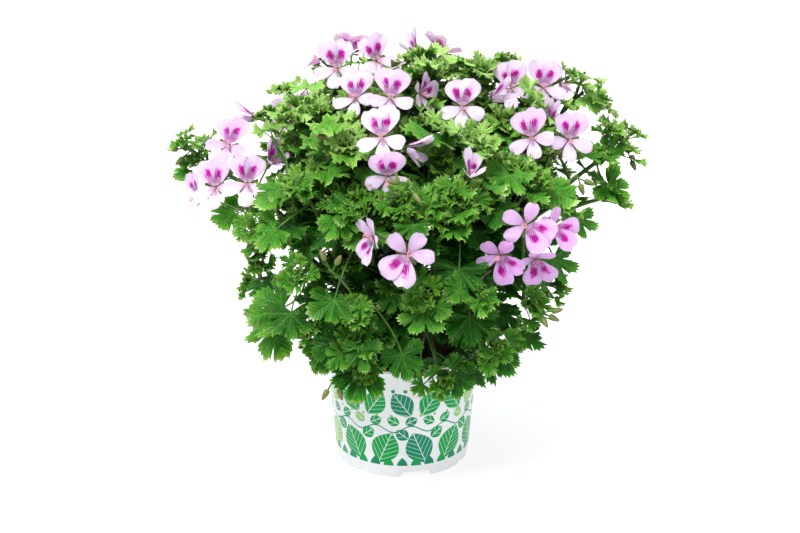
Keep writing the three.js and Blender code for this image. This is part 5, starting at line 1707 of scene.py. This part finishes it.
# %% Pot finish
def pot_material():
    net = Net("printed_plastic", 0.28)
    drawn = Print(net)
    colour = POT_WHITE
    for count, shift, middle, length, width, lean in PRINTED_LEAVES:
        across, up, number = drawn.cell(count, shift, middle)
        pair = net.math("FLOORED_MODULO", number, 2)
        tilt = net.times(net.minus(pair, 0.5), 2 * lean)
        blade, ribs = drawn.leaf(across, up, tilt, length, width)
        ink = net.mix(drawn.first_of(number, LIGHT_EVERY), EMERALD, LIGHT_GREEN)
        ink = net.mix(drawn.first_of(number, TEAL_EVERY), ink, TEAL)
        ink = net.mix(ribs, ink, POT_WHITE)
        colour = net.mix(blade, colour, ink)
    wave = net.math("SINE", net.times(drawn.turn, 2 * math.pi * VINE_WAVES))
    vine = net.size(net.minus(drawn.height, net.plus(VINE_HEIGHT, net.times(wave, VINE_SWING))))
    colour = net.mix(net.fade(vine, *VINE_WIDTH), colour, TEAL)
    across, up, number = drawn.cell(*LOW_LEAVES[0])
    blade, ribs = drawn.leaf(across, up, 0.0, *LOW_LEAVES[1])
    low = net.times(blade, net.step(drawn.height, BAND_LOW + 0.2, BAND_LOW + 0.4))
    colour = net.mix(low, colour, net.mix(net.math("FLOORED_MODULO", number, 2), TEAL, EMERALD))
    for count, middle, radius, ink in PRINTED_DOTS:
        across, up, number = drawn.cell(count, 0.25, middle)
        colour = net.mix(net.fade(net.reach(across, up), radius - SOFT_EDGE, radius), colour, ink)
    x, y, _ = net.split(net.place())
    radius = net.reach(x, y)
    slope = MM * (WALL_TOP_RADIUS - FOOT_RADIUS) / LIP_BOTTOM
    outer = net.plus(FOOT_RADIUS * MM, net.times(drawn.height, slope))
    outside = net.math("GREATER_THAN", radius, net.minus(outer, SKIN))
    above = net.math("GREATER_THAN", drawn.height, BAND_LOW)
    band = net.times(above, net.math("LESS_THAN", drawn.height, BAND_HIGH))
    colour = net.mix(net.times(outside, band), POT_WHITE, colour)
    net.bump(net.noise(60, 2), 0.00025)
    net.all_over(Subsurface_Weight=0.06, Subsurface_Scale=0.003, Specular_IOR_Level=0.3)
    return net.finish(colour)


pot.data.materials.append(pot_material())
settle(pot, ["pot"])
print("pot is printed")

# %% [markdown]
# ## Peat
#
# Peat fills the pot to a finger below its rim. It shows only between the lowest leaves. It could be a plain
# dark disc, but from the side and from behind one looks into the pot. So a plug is spun like the pot, its
# upper face gets a rough relief, and loose crumbs lie on it.

# %% Peat
PEAT_EDGE = wall_at(PEAT_TOP) - WALL - 0.4
PEAT_WAVES, PEAT_LUMPS, LUMP_SIZE = 1.44, 1.2, 3.5
CRUMBS, CRUMB_SIZE = 240, (0.6, 2.1)
PEAT_BLACK, PEAT_BROWN, PEAT_PALE = (0.012, 0.007, 0.004, 1), (0.055, 0.03, 0.016, 1), (0.09, 0.05, 0.028, 1)
PEAT_RINGS = (0.99, 0.93, 0.86, 0.78, 0.7, 0.6, 0.5, 0.38, 0.26, 0.13, 0)
PEAT_SECTION = [(0, 7), (wall_at(7) - WALL - 2, 7), (wall_at(12) - WALL - 0.4, 12), (PEAT_EDGE, PEAT_TOP - 1),
                *((PEAT_EDGE * share, PEAT_TOP) for share in PEAT_RINGS)]


def peat_height(x, y):
    waves = math.sin(x / 7) * math.cos(y / 6) + math.cos(x / 11 + y / 9)
    return PEAT_TOP + PEAT_WAVES * waves + PEAT_LUMPS * noise.noise(Vector((x, y, 3)) / LUMP_SIZE)


peat = spun("peat_plug", PEAT_SECTION, 90)
for corner in peat.data.vertices:
    x, y, z = corner.co
    if z > PEAT_TOP - 0.5 and math.hypot(x, y) < PEAT_EDGE - 0.1:
        corner.co.z = peat_height(x, y)
bpy.ops.mesh.primitive_ico_sphere_add(subdivisions=1, radius=1)
crumb = Sheet(bpy.context.object, place=corners_of(bpy.context.object))
plug = Sheet(peat, place=corners_of(peat))
soil = Gather()
soil.add(plug.place, plug.faces, 0.3)
for i in range(CRUMBS):
    place = 80000 + i
    far, turn = (PEAT_EDGE - 3) * math.sqrt(draw(place, 1, 1)), 2 * math.pi * draw(place, 1, 2)
    x, y = far * math.cos(turn), far * math.sin(turn)
    size = np.array([mix(*CRUMB_SIZE, draw(place, 1, 3 + k) ** 1.5) for k in range(3)])
    soil.add(crumb.place * size + (x, y, peat_height(x, y) + 0.3), crumb.faces, draw(place, 1, 9))


def peat_material():
    net = Net("peat", 0.95)
    tint = net.attribute("tint")
    brown = net.mix(net.step(net.noise(420, 3), 0.35, 0.7), PEAT_BLACK, PEAT_BROWN)
    brown = net.mix(net.times(tint, 0.3), brown, PEAT_PALE)
    net.bump(net.noise(800, 3), 0.0008)
    return net.finish(brown)


soil.make("peat_bed", peat_material(), "peat", ["peat"])
print("crumbs", CRUMBS)

# %% [markdown]
# ## Floor finish
#
# The floor is a matt pale grey with the faintest mottle, and it glows a little by itself, so that it looks
# white and the shadow on it stays soft. A white floor without a glow would throw so much light up into the
# leaves that they would lose their dark gaps.

# %% Floor
FLOOR_GLOW = 0.56
FLOOR_GREY, FLOOR_PALE = (0.34, 0.342, 0.345, 1), (0.36, 0.362, 0.365, 1)


def floor_material():
    net = Net("floor", 0.9)
    net.all_over(Emission_Color=(1, 1, 1, 1), Emission_Strength=FLOOR_GLOW)
    return net.finish(net.mix(net.noise(3, 2), FLOOR_GREY, FLOOR_PALE))


floor.data.materials.append(floor_material())
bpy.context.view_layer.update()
